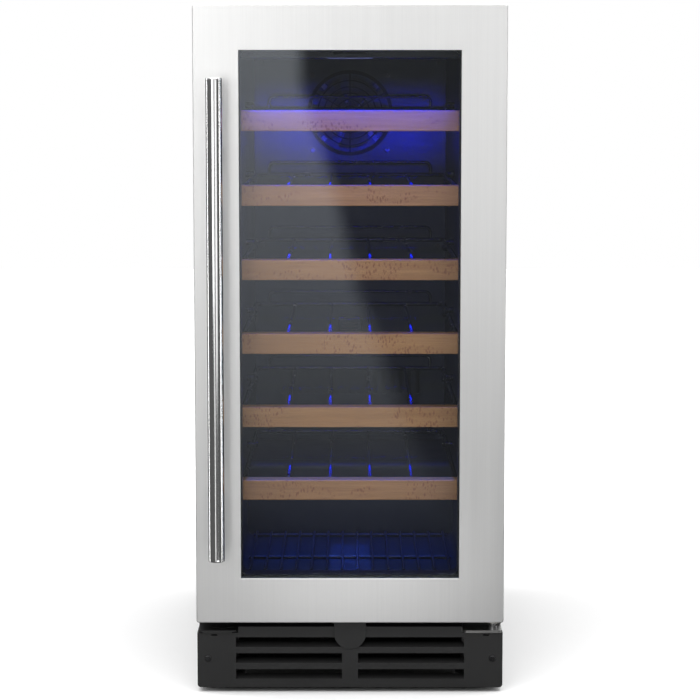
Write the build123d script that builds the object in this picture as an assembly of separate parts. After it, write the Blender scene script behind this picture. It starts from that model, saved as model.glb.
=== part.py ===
from build123d import *

import math
import os

os.makedirs("parts", exist_ok=True)

# A built-in wine cooler: a glass door on a foamed cabinet, six wire shelves with wooden
# fronts, a fan-cooled evaporator behind the rear panel and a machine room low at the back.
# Millimetres. x is 0 on the middle plane and positive on the hinge side, z is up from the
# floor, and every depth is counted backwards from the door's front face.

# Overall
WIDTH = 380.0
HEIGHT = 850.0
HANDLE_REACH = 48.0
REAR_FACE = 567.0
GLAND_OUT = 5.0
FRONT = (HANDLE_REACH - REAR_FACE - GLAND_OUT) / 2
HALF = WIDTH / 2
SHEET = 1.0

# Door
DOOR_LOW = 91.0
DOOR_SKIN_DEPTH = 36.0
DOOR_DEPTH = 42.0
DOOR_CORNER = 3.5
WINDOW_HALF = 135.0
WINDOW_LOW = 146.7
WINDOW_HIGH = 795.4
JAMB_INSET = 1.5
PANE_MARGIN = 15.0
PANE_THICK = 3.0
PANE_GAP = 9.0
SPACER_WIDTH = 12.0
GASKET_HALF = 165.0
GASKET_WIDTH = 14.0
GASKET_LOW = 117.0
GASKET_HIGH = 826.0
GASKET_DEPTH = 8.0

# Hinges
HINGE_X = 178.0
HINGE_DEPTH = 18.0
PIN_RADIUS = 4.0
BORE_RADIUS = 4.06
BUSHING_RADIUS = 7.0
BUSHING_FLANGE = 9.0
BRACKET_THICK = 3.0
LOWER_BRACKET_TOP = 79.0
BRACKET_INNER_X = 141.0
BRACKET_OUTER_X = 189.0
BRACKET_FRONT = 9.5
BRACKET_LEG_X = 186.5

# Handle
HANDLE_X = -162.0
HANDLE_RADIUS = 10.0
HANDLE_LOW = 177.0
HANDLE_HIGH = 762.0
HANDLE_MIDDLE = (DOOR_LOW + HEIGHT) / 2
POST_SPACING = 426.0
POST_RADIUS = 6.0

# Cabinet
CABINET_FRONT = 50.3
CABINET_TOP = 846.0
CABINET_LOW = 30.0
DECK_Z = 92.0
MACHINE_FRONT = 352.0
MACHINE_TOP = 196.0
LINER_FLANGE = 9.2
LINER_WALL = 2.0
CAVITY_HALF_FRONT = 144.5
CAVITY_DRAFT = 0.0148
CAVITY_LOW = 138.0
CAVITY_HIGH = 805.0
CAVITY_BACK = 528.0
CAVITY_CORNER = 10.0
HUMP_FRONT = 306.0
HUMP_TOP = 240.0

# Air duct on the back wall
DUCT_FACE = 490.0
DUCT_WALL = 2.5
FAN_Z = 714.0
FAN_OPENING = 56.0
GRILLE_RADIUS = 61.0
VENT_COUNT = 17
VENT_PITCH = 12.3
VENT_WIDTH = 6.0
VENT_ROWS = ((265.0, 300.0), (307.0, 342.0))

# Shelves
SHELF_COUNT = 6
SHELF_TOP = 722.0
SHELF_PITCH = 92.6
FASCIA_HALF = 141.0
FASCIA_HEIGHT = 25.5
FASCIA_FRONT = 62.0
FASCIA_BACK = 84.0
RAIL_X = 134.0
RAIL_RADIUS = 3.0
RAIL_DROP = 3.0
RACK_BACK = 462.0
DECK_WIRES = (-78.5, -25.5, 25.5, 78.5)
WIRE_RADIUS = 2.0
STOP_HALF = 115.0
STOP_RISE = 18.0
PEG_RADIUS = 4.0
PEG_GAP = 0.3
FLOOR_RACK_HALF = 132.0

# Control housing under the ceiling
PANEL_HALF = 141.0
PANEL_FRONT = 54.0
PANEL_BACK = 172.0
PANEL_LOW = 786.5
BUTTON_Z = 796.0
BUTTON_RADIUS = 3.5
BUTTON_SPOTS = (-40.0, -28.0, 28.0, 40.0)

# Toe grille
GRILLE_FRONT = 12.0
GRILLE_LOW = 6.0
GRILLE_HIGH = 83.5
GRILLE_NOTCH_Z = 75.5
GRILLE_WALL = 2.5
SLOT_INNER = 10.0
SLOT_OUTER = 142.0
SLOT_HEIGHT = 12.2
SLOT_ROWS = (17.1, 37.4, 57.7)
TAB_RADIUS = 20.0
TAB_CENTRE_Z = 75.0
TAB_TOP = 89.0
GRILLE_SCREW_X = 177.0
GRILLE_SCREW_Z = 43.0

# Feet
FOOT_X = 150.0
FOOT_DEPTHS = (84.0, 542.0)

# Machine room
COMPRESSOR_X = 95.0
COMPRESSOR_DEPTH = 455.0
COMPRESSOR_RADIUS = 60.0
AXIS_Z = 112.0
SHROUD_X = -34.0
CONDENSER_X = -110.0
COIL_TUBE = 4.0
EVAPORATOR_DEPTH = 511.0
EVAPORATOR_LOW = 372.0
EVAPORATOR_PITCH = 30.0
EVAPORATOR_PASSES = 9
FOAM_LINE_DEPTH = 548.0
DRAIN_SPOT = (0.0, 518.0)


def at(x, depth, z):
    """A point, given by its depth behind the door's front face."""
    return Vector(x, FRONT + depth, z)


def block(x, depth, z):
    """A box from its (low, high) spans."""
    spans = (x, depth, z)
    middle = at(*[(low + high) / 2 for low, high in spans])
    return Pos(*middle) * Box(*[high - low for low, high in spans])


def rod(start, end, radius):
    """A round bar between two (x, depth, z) points."""
    foot, head = at(*start), at(*end)
    ends = (Align.CENTER, Align.CENTER, Align.MIN)
    return Plane(origin=foot, z_dir=head - foot) * Cylinder(radius, (head - foot).length, align=ends)


def panel(outline, depth):
    """An outline drawn in x and z, given its (front, back) depths."""
    front, back = depth
    face = Plane(origin=at(0, front, 0), x_dir=(1, 0, 0), z_dir=(0, -1, 0))
    return extrude(face * outline, amount=front - back)


def sheet(outline, z):
    """An outline drawn in x and depth, given its (low, high) heights."""
    low, high = z
    return extrude(Plane(origin=at(0, 0, low)) * outline, amount=high - low)


def tube(points, radius, bend):
    """A round wire or pipe along straight runs with rounded corners."""
    path = FilletPolyline(*[at(*point) for point in points], radius=bend)
    return sweep(Plane(path @ 0, z_dir=path % 0) * Circle(radius), path=path)


def rounded(half, low, high, corner):
    """A rounded rectangle about the middle plane, from z low to z high."""
    return Pos(0, (low + high) / 2) * RectangleRounded(2 * half, high - low, corner)


def frame(half, low, high, width, depth):
    """A square-cornered ring about the middle plane, with its outer size given."""
    outer = block((-half, half), depth, (low, high))
    return outer - block((width - half, half - width), depth, (low + width, high - width))


def mirrored(shape):
    """The shape with its mirror image on the other side of the middle plane."""
    return [shape, mirror(shape, Plane.YZ)]


def save(name, shapes):
    """Writes one node, from a solid or a list of separate solids."""
    solids = []
    for shape in shapes if isinstance(shapes, list) else [shapes]:
        solids += shape.solids()
    for number, solid in enumerate(solids):
        solid.label = name if len(solids) == 1 else f"{name}_{number + 1}"
    export_step(solids[0] if len(solids) == 1 else Compound(children=solids), f"parts/{name}.step")


def screw(x, depth, z, facing, length=10.0, radius=2.0, head=3.8, rise=1.6):
    """A pan-head cross-slot screw whose head stands out of a surface, along facing."""
    ends = (Align.CENTER, Align.CENTER, Align.MIN)
    body = Cylinder(head, rise, align=ends)
    body = fillet(body.edges().group_by(Axis.Z)[-1], rise * 0.55)
    for turn in (0, 90):
        body -= Pos(0, 0, rise - 0.45) * Rot(0, 0, turn) * Box(head * 1.1, 0.8, 0.95)
    body += Pos(0, 0, -length) * Cylinder(radius, length, align=ends)
    return Plane(origin=at(x, depth, z), z_dir=facing) * body


# ---------------------------------------------------------------- door


def door_skin():
    """The stainless front, folded round the sides, with the window cut out."""
    skin = block((-HALF, HALF), (0, DOOR_SKIN_DEPTH), (DOOR_LOW, HEIGHT))
    skin = fillet(skin.edges().filter_by(Axis.Y), DOOR_CORNER)
    skin = fillet(skin.faces().sort_by(Axis.Y)[0].outer_wire().edges(), 1.2)
    skin -= door_filling(DOOR_SKIN_DEPTH + 1)
    skin -= panel(rounded(WINDOW_HALF, WINDOW_LOW, WINDOW_HIGH, 1.0), (-1, SHEET + 1))
    for centre in handle_heights():
        skin -= rod((HANDLE_X, -1, centre), (HANDLE_X, 2, centre), 2.7)
    for low, high in ((DOOR_LOW - 1, DOOR_LOW + 2), (HEIGHT - 2, HEIGHT + 1)):
        skin -= rod((HINGE_X, HINGE_DEPTH, low), (HINGE_X, HINGE_DEPTH, high), BUSHING_RADIUS)
    return skin - hinge_pocket()


def door_filling(back):
    """The space that the skin folds round, from its inner face to a depth."""
    filling = block((SHEET - HALF, HALF - SHEET), (SHEET, back), (DOOR_LOW + SHEET, HEIGHT - SHEET))
    return fillet(filling.edges().filter_by(Axis.Y), DOOR_CORNER - SHEET)


def hinge_pocket():
    """The room in the door's top corner for the upper hinge bracket."""
    return block((165.5, HALF + 1), (5.0, DOOR_DEPTH + 1), (842.0, HEIGHT + 1))


def handle_heights():
    """The heights of the two handle posts."""
    return (HANDLE_MIDDLE - POST_SPACING / 2, HANDLE_MIDDLE + POST_SPACING / 2)


def pane_span():
    """The half width, low edge and high edge of both panes."""
    return WINDOW_HALF + PANE_MARGIN, WINDOW_LOW - PANE_MARGIN, WINDOW_HIGH + PANE_MARGIN


def door_liner():
    """The moulded inner frame that fills the skin and holds the glazing."""
    body = door_filling(DOOR_DEPTH)
    rim = block((-HALF, HALF), (DOOR_SKIN_DEPTH, DOOR_DEPTH), (DOOR_LOW, HEIGHT))
    rim = fillet(rim.edges().filter_by(Axis.Y), DOOR_CORNER)
    body += rim
    half, low, high = pane_span()
    unit_back = SHEET + 2 * PANE_THICK + PANE_GAP
    body -= block((-half, half), (0, unit_back), (low, high))
    jamb = rounded(WINDOW_HALF - JAMB_INSET, WINDOW_LOW + JAMB_INSET, WINDOW_HIGH - JAMB_INSET, 8.0)
    body -= panel(jamb, (0, DOOR_DEPTH + 1))
    body -= hinge_pocket()
    body -= rod((HINGE_X, HINGE_DEPTH, DOOR_LOW - 1), (HINGE_X, HINGE_DEPTH, 109.0), BUSHING_RADIUS)
    body -= rod((HINGE_X, HINGE_DEPTH, 825.0), (HINGE_X, HINGE_DEPTH, 843.0), BUSHING_RADIUS)
    for centre in handle_heights():
        body -= rod((HANDLE_X, 0, centre), (HANDLE_X, 7, centre), 6.5)
    return body


def glass_panes():
    """The outer and the inner pane of the sealed double glazing."""
    half, low, high = pane_span()
    panes = []
    for front in (SHEET, SHEET + PANE_THICK + PANE_GAP):
        pane = block((-half, half), (front, front + PANE_THICK), (low, high))
        panes.append(chamfer(pane.edges(), 0.4))
    return panes


def glass_spacer():
    """The hollow spacer bar bonded between the panes."""
    half, low, high = pane_span()
    front = SHEET + PANE_THICK
    return frame(half - 2.4, low + 2.4, high - 2.4, SPACER_WIDTH, (front, front + PANE_GAP))


def gasket():
    """The magnetic seal: a fixing strip, a bellows and the magnet sleeve."""
    low, high = GASKET_LOW, GASKET_HIGH
    base = frame(GASKET_HALF, low, high, GASKET_WIDTH, (DOOR_DEPTH, DOOR_DEPTH + 2))
    fold = frame(GASKET_HALF - 3, low + 3, high - 3, 7, (DOOR_DEPTH + 2, DOOR_DEPTH + 4.5))
    sleeve_depth = (DOOR_DEPTH + 4.5, DOOR_DEPTH + GASKET_DEPTH)
    return base + fold + frame(GASKET_HALF, low, high, GASKET_WIDTH - 1, sleeve_depth)


def handle_bar():
    """The round bar, closed at both ends, bored for its two posts."""
    depth = HANDLE_RADIUS - HANDLE_REACH
    bar = rod((HANDLE_X, depth, HANDLE_LOW), (HANDLE_X, depth, HANDLE_HIGH), HANDLE_RADIUS)
    bar = chamfer(bar.edges(), 0.8)
    core = (HANDLE_LOW + 4, HANDLE_HIGH - 4)
    bar -= rod((HANDLE_X, depth, core[0]), (HANDLE_X, depth, core[1]), HANDLE_RADIUS - 1.6)
    return bar


def handle_mounts():
    """Two posts between the bar and the door, each with the screw that holds it."""
    depth = HANDLE_RADIUS - HANDLE_REACH
    bar = rod((HANDLE_X, depth, HANDLE_LOW), (HANDLE_X, depth, HANDLE_HIGH), HANDLE_RADIUS)
    pieces = []
    for centre in handle_heights():
        post = rod((HANDLE_X, depth, centre), (HANDLE_X, 0, centre), POST_RADIUS) - bar
        post += rod((HANDLE_X, -1.5, centre), (HANDLE_X, 0, centre), POST_RADIUS + 1.5)
        post -= rod((HANDLE_X, -14, centre), (HANDLE_X, 1, centre), 2.5)
        pieces.append(post.solids().sort_by(Axis.Y)[-1])
        pieces.append(screw(HANDLE_X, SHEET, centre, (0, 1, 0), 14.0, 2.4, 5.0, 3.0))
    return pieces


# ---------------------------------------------------------------- hinges


def hinge_brackets():
    """The lower bracket under the door and the upper one on the cabinet's roof."""
    top = LOWER_BRACKET_TOP
    x = (BRACKET_INNER_X, BRACKET_OUTER_X)
    back = CABINET_FRONT
    lower = block(x, (BRACKET_FRONT, back), (top - BRACKET_THICK, top))
    corners = lower.edges().filter_by(Axis.Z).group_by(Axis.Y)[0]
    lower = fillet(corners, 5.0)
    lower += block((x[0], BRACKET_LEG_X), (back - BRACKET_THICK, back), (52.0, top - BRACKET_THICK))
    bore = ((HINGE_X, HINGE_DEPTH, top - 5), (HINGE_X, HINGE_DEPTH, top + 1))
    lower -= rod(*bore, PIN_RADIUS + 0.1)
    for x_hole in (150.0, 168.0):
        lower -= rod((x_hole, 40, 62), (x_hole, back + 1, 62), 2.3)
    upper = sheet(upper_bracket_outline(), (CABINET_TOP, CABINET_TOP + BRACKET_THICK))
    bore = ((HINGE_X, HINGE_DEPTH, CABINET_TOP - 1), (HINGE_X, HINGE_DEPTH, HEIGHT))
    upper -= rod(*bore, PIN_RADIUS + 0.1)
    for x_hole, depth_hole in upper_screw_spots():
        start = (x_hole, depth_hole, CABINET_TOP - 1)
        upper -= rod(start, (x_hole, depth_hole, HEIGHT), 2.3)
    return [lower, upper]


def upper_bracket_outline():
    """A plate on the roof whose arm ends round the pin."""
    plate = Pos(169.5, 88) * RectangleRounded(39, 52, 4)
    arm = Pos(HINGE_X, (HINGE_DEPTH + 70) / 2) * Rectangle(16, 70 - HINGE_DEPTH)
    return plate + arm + Pos(HINGE_X, HINGE_DEPTH) * Circle(8)


def upper_screw_spots():
    """The roof bracket's screws."""
    return ((158.0, 76.0), (180.0, 76.0), (158.0, 100.0), (180.0, 100.0))


def hinge_pins():
    """Two collared pins riveted into the brackets."""
    spot = (HINGE_X, HINGE_DEPTH)
    top = LOWER_BRACKET_TOP
    lower = rod((*spot, top - BRACKET_THICK), (*spot, 105.0), PIN_RADIUS)
    lower += rod((*spot, top), (*spot, top + 5), 6.5)
    upper = rod((*spot, 828.5), (*spot, CABINET_TOP + BRACKET_THICK), PIN_RADIUS)
    upper += rod((*spot, CABINET_TOP + BRACKET_THICK), (*spot, HEIGHT), 6.0)
    return [lower, upper]


def hinge_bushings():
    """The flanged nylon bushings pressed into the door's lower and upper corners."""
    spot = (HINGE_X, HINGE_DEPTH)
    bushings = []
    for face, inner, flange in ((DOOR_LOW, 108.0, 88.5), (842.0, 826.5, 844.5)):
        bush = rod((*spot, face), (*spot, inner), BUSHING_RADIUS)
        bush += rod((*spot, flange), (*spot, face), BUSHING_FLANGE)
        bush -= rod((*spot, 80.0), (*spot, HEIGHT), BORE_RADIUS)
        bushings.append(bush)
    return bushings


def spare_hinge_cover():
    """The cover plate on the side that could take the hinge instead."""
    top = LOWER_BRACKET_TOP
    x = (-BRACKET_OUTER_X, -BRACKET_INNER_X)
    back = CABINET_FRONT
    cover = block(x, (BRACKET_FRONT, back), (top - 2, top))
    cover = fillet(cover.edges().filter_by(Axis.Z).group_by(Axis.Y)[0], 5.0)
    cover += block((x[0] + 6, x[1] - 6), (BRACKET_FRONT, BRACKET_FRONT + 1.5), (top - 3.3, top - 2))
    cover += block((-BRACKET_LEG_X, x[1]), (back - 2, back), (56.0, top - 2))
    for centre in (-168.0, -149.5):
        slot = Pos(centre, 25.0) * SlotOverall(14, 5)
        cover -= sheet(slot, (top - 3, top + 1))
    return cover


# ---------------------------------------------------------------- toe grille


def kick_plate():
    """The moulded toe grille: two banks of slots with ledges, notched under the hinges."""
    face = Pos(0, (GRILLE_LOW + GRILLE_HIGH) / 2) * Rectangle(WIDTH, GRILLE_HIGH - GRILLE_LOW)
    face = fillet(face.vertices().group_by(Axis.Y)[0], 4.0)
    back = CABINET_FRONT - 0.3
    plate = panel(face, (GRILLE_FRONT, back))
    edges = plate.faces().sort_by(Axis.Y)[0].edges()
    plate = fillet(edges, 0.8)
    hollow_x = HALF - GRILLE_WALL
    hollow_z = (GRILLE_LOW + GRILLE_WALL, GRILLE_HIGH - GRILLE_WALL)
    plate -= block((-hollow_x, hollow_x), (GRILLE_FRONT + GRILLE_WALL, back + 1), hollow_z)
    for side in (-1, 1):
        low_x, high_x = sorted((side * (BRACKET_INNER_X - 2), side * (HALF + 1)))
        plate -= block((low_x, high_x), (GRILLE_FRONT - 1, back + 1), (GRILLE_NOTCH_Z, GRILLE_HIGH + 1))
        inner_x, outer_x = sorted((side * SLOT_INNER, side * SLOT_OUTER))
        for low in SLOT_ROWS:
            slot = (low, low + SLOT_HEIGHT)
            plate -= block((inner_x, outer_x), (GRILLE_FRONT - 1, GRILLE_FRONT + GRILLE_WALL + 1), slot)
            plate += slot_ledge(inner_x, outer_x, low)
        centre = side * 169.0
        plate -= block((centre - 3.7, centre + 3.7), (GRILLE_FRONT - 1, GRILLE_FRONT + 5), (71.8, 73.6))
        boss_end = (side * GRILLE_SCREW_X, back, GRILLE_SCREW_Z)
        plate += rod((side * GRILLE_SCREW_X, GRILLE_FRONT + 1, GRILLE_SCREW_Z), boss_end, 5.5)
        start = (side * GRILLE_SCREW_X, GRILLE_FRONT - 1, GRILLE_SCREW_Z)
        plate -= rod(start, (side * GRILLE_SCREW_X, back + 1, GRILLE_SCREW_Z), 2.2)
    return plate


def slot_ledge(inner_x, outer_x, low):
    """The ledge that runs back from a slot's lower edge, sloping up as it goes."""
    reach, thick, rise = 13.0, 1.8, 3.0
    start = GRILLE_FRONT + 0.8
    lower = ((start, low - thick), (start + reach, low - thick + rise))
    upper = ((start + reach, low + rise), (start, low))
    profile = Polygon(*lower, *upper, align=None)
    side_plane = Plane(origin=at(inner_x, 0, 0), x_dir=(0, 1, 0), z_dir=(1, 0, 0))
    return extrude(side_plane * profile, amount=outer_x - inner_x)


def kick_plate_tab():
    """The round-ended tab that closes the inner ends of the top slots."""
    outline = Pos(0, TAB_CENTRE_Z) * Circle(TAB_RADIUS)
    outline += Pos(0, TAB_CENTRE_Z + TAB_RADIUS) * Rectangle(2 * TAB_RADIUS, 2 * TAB_RADIUS)
    outline -= Pos(0, TAB_TOP + TAB_RADIUS * 2) * Rectangle(4 * TAB_RADIUS, 4 * TAB_RADIUS)
    tab = panel(outline, (GRILLE_FRONT - 1.5, GRILLE_FRONT))
    return fillet(tab.faces().sort_by(Axis.Y)[0].edges(), 0.5)


# ---------------------------------------------------------------- cabinet


def outer_wrap():
    """The folded steel sheet of both sides and the roof, with its front and rear returns."""
    depth = (CABINET_FRONT, REAR_FACE - SHEET)
    wrap = block((-HALF, HALF), depth, (CABINET_LOW, CABINET_TOP))
    wrap = fillet(wrap.edges().filter_by(Axis.Y).group_by(Axis.Z)[-1], 4.0)
    inner = (CABINET_FRONT + SHEET, REAR_FACE)
    inside = block((SHEET - HALF, HALF - SHEET), inner, (0, CABINET_TOP - SHEET))
    wrap -= fillet(inside.edges().filter_by(Axis.Y).group_by(Axis.Z)[-1], 3.0)
    opening_x = CAVITY_HALF_FRONT + LINER_FLANGE + 0.3
    opening_top = CAVITY_HIGH + LINER_FLANGE + 0.3
    front_wall = (CABINET_FRONT - 1, CABINET_FRONT + SHEET)
    wrap -= block((-opening_x, opening_x), front_wall, (0, opening_top))
    wrap -= block((-HALF, HALF), front_wall, (0, DOOR_LOW))
    rear = (REAR_FACE - 2 * SHEET, REAR_FACE - SHEET)
    for side in (-1, 1):
        low_x, high_x = sorted((side * 177.0, side * (HALF - SHEET)))
        wrap += block((low_x, high_x), rear, (CABINET_LOW, CABINET_TOP - SHEET))
    wrap += block((-177.0, 177.0), rear, (833.0, CABINET_TOP - SHEET))
    return wrap.solids()[0]


def back_panel():
    """The flat steel back, stiffened by pressed ribs."""
    x = (0.5 - HALF, HALF - 0.5)
    back = block(x, (REAR_FACE - SHEET, REAR_FACE), (MACHINE_TOP, CABINET_TOP - 0.5))
    back = fillet(back.edges().filter_by(Axis.Y).group_by(Axis.Z)[-1], 3.5)
    for centre in (300.0, 430.0, 560.0, 690.0):
        rib = panel(Pos(0, centre) * SlotOverall(300, 16), (REAR_FACE, REAR_FACE + 1.5))
        back += fillet(rib.faces().sort_by(Axis.Y)[-1].edges(), 1.2)
    return back


def rear_cover():
    """The machine room's rear cover, with two banks of upright air slots."""
    x = (0.5 - HALF, HALF - 0.5)
    cover = block(x, (REAR_FACE - SHEET, REAR_FACE), (CABINET_LOW + 2, MACHINE_TOP - 0.6))
    for bank in (-95.0, 85.0):
        for step in range(-6, 7):
            slot = Pos(bank + step * 12.0, 122.0) * SlotOverall(70, 5.5, rotation=90)
            cover -= panel(slot, (REAR_FACE - 2, REAR_FACE + 1))
    gland = gland_spot()
    return cover - rod((gland[0], REAR_FACE - 3, gland[1]), (gland[0], REAR_FACE + 1, gland[1]), 6.0)


def gland_spot():
    """Where the mains cord would leave the rear cover, as (x, z)."""
    return (-160.0, 56.0)


def cord_gland():
    """The strain-relief bush of the mains cord, without its cord."""
    x, z = gland_spot()
    bush = rod((x, REAR_FACE, z), (x, REAR_FACE + GLAND_OUT, z), 9.0)
    bush = fillet(bush.edges().group_by(Axis.Y)[-1], 1.5)
    bush += rod((x, REAR_FACE - 6, z), (x, REAR_FACE, z), 5.9)
    bush += rod((x, REAR_FACE - 6, z), (x, REAR_FACE - SHEET - 0.3, z), 7.5)
    return bush - rod((x, REAR_FACE - 8, z), (x, REAR_FACE + 8, z), 3.6)


def base_pan():
    """The bottom pan: upturned sides, front ears for the hinges and grille, foot nuts."""
    floor = (CABINET_LOW, CABINET_LOW + 1.2)
    inner = HALF - SHEET - 0.2
    depth = (CABINET_FRONT, REAR_FACE - 3.2)
    pan = block((-inner, inner), depth, floor)
    for side in (-1, 1):
        low_x, high_x = sorted((side * (inner - 1.2), side * inner))
        pan += block((low_x, high_x), depth, (CABINET_LOW, 52.0))
        low_x, high_x = sorted((side * 140.0, side * inner))
        pan += block((low_x, high_x), (CABINET_FRONT, CABINET_FRONT + 2), (CABINET_LOW, DOOR_LOW - 0.3))
    pan += block((-inner, inner), (depth[1] - 1.2, depth[1]), (CABINET_LOW, 48.0))
    for x, foot_depth in foot_spots():
        nut = sheet(Pos(x, foot_depth) * RegularPolygon(9.0, 6), (CABINET_LOW, 41.0))
        pan += nut
        pan -= rod((x, foot_depth, 20.0), (x, foot_depth, 60.0), BORE_RADIUS)
    for x, z in ((150.0, 62.0), (168.0, 62.0), (GRILLE_SCREW_X, GRILLE_SCREW_Z)):
        for side in (-1, 1):
            pan -= rod((side * x, CABINET_FRONT - 1, z), (side * x, CABINET_FRONT + 3, z), 2.1)
    return pan


def foot_spots():
    """The feet's (x, depth) places: front left, front right, rear left, rear right."""
    return [(side * FOOT_X, depth) for depth in FOOT_DEPTHS for side in (-1, 1)]


def foot(x, depth):
    """A levelling foot: a broad pad on a stud that turns in the base pan's nut."""
    pad = rod((x, depth, 0), (x, depth, 9), 17.0)
    pad = fillet(pad.edges(), 1.5)
    pad += sheet(Pos(x, depth) * RegularPolygon(10.0, 6), (8.5, 20.0))
    return pad + rod((x, depth, 15), (x, depth, 50), PIN_RADIUS)


def machine_room_divider():
    """The stepped sheet under the foam, which roofs the air channel and the machine room."""
    inner = HALF - SHEET
    flange_x = CAVITY_HALF_FRONT + LINER_FLANGE
    front = (CABINET_FRONT, CABINET_FRONT + SHEET)
    flange_top = CAVITY_LOW - LINER_FLANGE - 0.3
    divider = block((-flange_x, flange_x), front, (DOOR_LOW, flange_top))
    divider += block((-inner, inner), (front[1], MACHINE_FRONT), (DECK_Z - SHEET, DECK_Z))
    divider += block((-inner, inner), (MACHINE_FRONT - SHEET, MACHINE_FRONT), (DECK_Z - SHEET, MACHINE_TOP))
    roof = (MACHINE_TOP - SHEET, MACHINE_TOP)
    divider += block((-inner, inner), (MACHINE_FRONT - SHEET, REAR_FACE - 2 * SHEET), roof)
    for x, depth, radius in service_holes():
        divider -= rod((x, depth, MACHINE_TOP - 5), (x, depth, MACHINE_TOP + 5), radius)
    return divider


def service_holes():
    """Where pipes pass the machine room's roof, as (x, depth, radius)."""
    return ((-60.0, FOAM_LINE_DEPTH, 2.5), (120.0, FOAM_LINE_DEPTH, 5.0), (*DRAIN_SPOT, 6.0))


def tapered_box(margin):
    """The interior's shape from front to back, grown by a margin on its walls."""
    faces = []
    for depth in (CABINET_FRONT, CAVITY_BACK + margin):
        half = CAVITY_HALF_FRONT - CAVITY_DRAFT * (depth - CABINET_FRONT) + margin
        outline = rounded(half, CAVITY_LOW - margin, CAVITY_HIGH + margin, CAVITY_CORNER + margin)
        faces.append(Plane(origin=at(0, depth, 0), x_dir=(1, 0, 0), z_dir=(0, -1, 0)) * outline)
    return loft(faces, ruled=True)


def hump(margin):
    """The step over the machine room, shrunk by a margin."""
    step = block((-HALF, HALF), (HUMP_FRONT + margin, REAR_FACE), (0, HUMP_TOP - margin))
    edge = step.edges().filter_by(Axis.X).group_by(Axis.Y)[0].sort_by(Axis.Z)[-1]
    return fillet(edge, 12.0 - margin)


def cavity():
    """The empty interior inside the liner."""
    return tapered_box(0) - hump(0)


def liner_envelope():
    """The liner with its interior filled."""
    return tapered_box(LINER_WALL) - hump(LINER_WALL)


def liner():
    """The vacuum-formed interior, with its front flange and the machine room's step."""
    half = CAVITY_HALF_FRONT + LINER_FLANGE
    low, high = CAVITY_LOW - LINER_FLANGE, CAVITY_HIGH + LINER_FLANGE
    flange = panel(rounded(half, low, high, 4.0), (CABINET_FRONT, CABINET_FRONT + LINER_WALL))
    shell = liner_envelope() + flange - cavity()
    for x, z in ((-120.0, EVAPORATOR_LOW), (120.0, evaporator_top())):
        shell -= rod((x, CAVITY_BACK - 2, z), (x, CAVITY_BACK + 5, z), 5.0)
    return shell - rod((*DRAIN_SPOT, HUMP_TOP - 5), (*DRAIN_SPOT, HUMP_TOP + 2), 5.5)


def insulation(pieces_to_clear):
    """The foam between the liner, the outer sheets and the machine room."""
    inner = HALF - SHEET
    foam = block((-inner, inner), (CABINET_FRONT + SHEET, REAR_FACE - SHEET), (DECK_Z, CABINET_TOP - SHEET))
    foam -= block((-HALF, HALF), (MACHINE_FRONT - SHEET, REAR_FACE), (0, MACHINE_TOP))
    foam -= liner_envelope()
    flange_x = CAVITY_HALF_FRONT + LINER_FLANGE + 0.1
    flange_z = (CAVITY_LOW - LINER_FLANGE - 0.1, CAVITY_HIGH + LINER_FLANGE + 0.1)
    foam -= block((-flange_x, flange_x), (CABINET_FRONT, CABINET_FRONT + LINER_WALL), flange_z)
    for piece in pieces_to_clear:
        foam -= piece
    return foam.solids().sort_by(SortBy.VOLUME)[-1]


# ---------------------------------------------------------------- air duct and evaporator


def duct_cover():
    """The rear panel with its fan opening and air slots, and the sensor's small cover."""
    half = CAVITY_HALF_FRONT - CAVITY_DRAFT * (DUCT_FACE + DUCT_WALL - CABINET_FRONT) - 0.6
    outline = rounded(half, HUMP_TOP + 0.3, CAVITY_HIGH - 0.4, 9.0)
    outline -= Pos(0, FAN_Z) * Circle(FAN_OPENING)
    for low, high in VENT_ROWS:
        for step in range(VENT_COUNT):
            x = (step - (VENT_COUNT - 1) / 2) * VENT_PITCH
            outline -= Pos(x, (low + high) / 2) * SlotOverall(high - low, VENT_WIDTH, rotation=90)
    cover = panel(outline, (DUCT_FACE, DUCT_FACE + DUCT_WALL))
    sensor = Pos(0, 402.5) * RectangleRounded(34, 33, 4)
    sensor = panel(sensor, (DUCT_FACE - 8, DUCT_FACE))
    sensor = fillet(sensor.faces().sort_by(Axis.Y)[0].edges(), 2.0)
    for step in range(-2, 3):
        sensor -= panel(Pos(0, 402.5 + 5 * step) * SlotOverall(22, 2), (DUCT_FACE - 9, DUCT_FACE - 3))
    return [cover, sensor]


def fan_grille():
    """The round guard in front of the circulation fan."""
    depth = (DUCT_FACE - 4, DUCT_FACE)
    outline = Circle(GRILLE_RADIUS) - Circle(GRILLE_RADIUS - 5)
    for radius in (20, 29, 38, 47):
        outline += Circle(radius) - Circle(radius - 1.8)
    outline += Circle(11)
    guard = panel(Pos(0, FAN_Z) * outline, depth)
    for turn in range(6):
        spoke = Rot(0, 0, 30 + 60 * turn) * Pos(GRILLE_RADIUS / 2, 0) * Rectangle(GRILLE_RADIUS - 4, 2)
        guard += panel(Pos(0, FAN_Z) * spoke, (DUCT_FACE - 3, DUCT_FACE))
    return guard


def fan(radius, hub_radius, height, blades):
    """A fan wheel about z from its own origin: a capped hub with pitched blades."""
    ends = (Align.CENTER, Align.CENTER, Align.MIN)
    wheel = Cylinder(hub_radius, height, align=ends)
    wheel = fillet(wheel.edges().group_by(Axis.Z)[0], 2.0)
    span = radius - hub_radius + 3
    limit = Cylinder(radius, height, align=ends)
    for number in range(blades):
        blade = Box(span, radius * 0.8, 1.4)
        blade = fillet(blade.edges().filter_by(Axis.Z), radius * 0.18)
        blade = Pos(hub_radius - 3 + span / 2, 0, height / 2) * Rot(22, 0, 0) * blade
        wheel += Rot(0, 0, number * 360 / blades) * (blade & limit)
    return wheel


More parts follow.
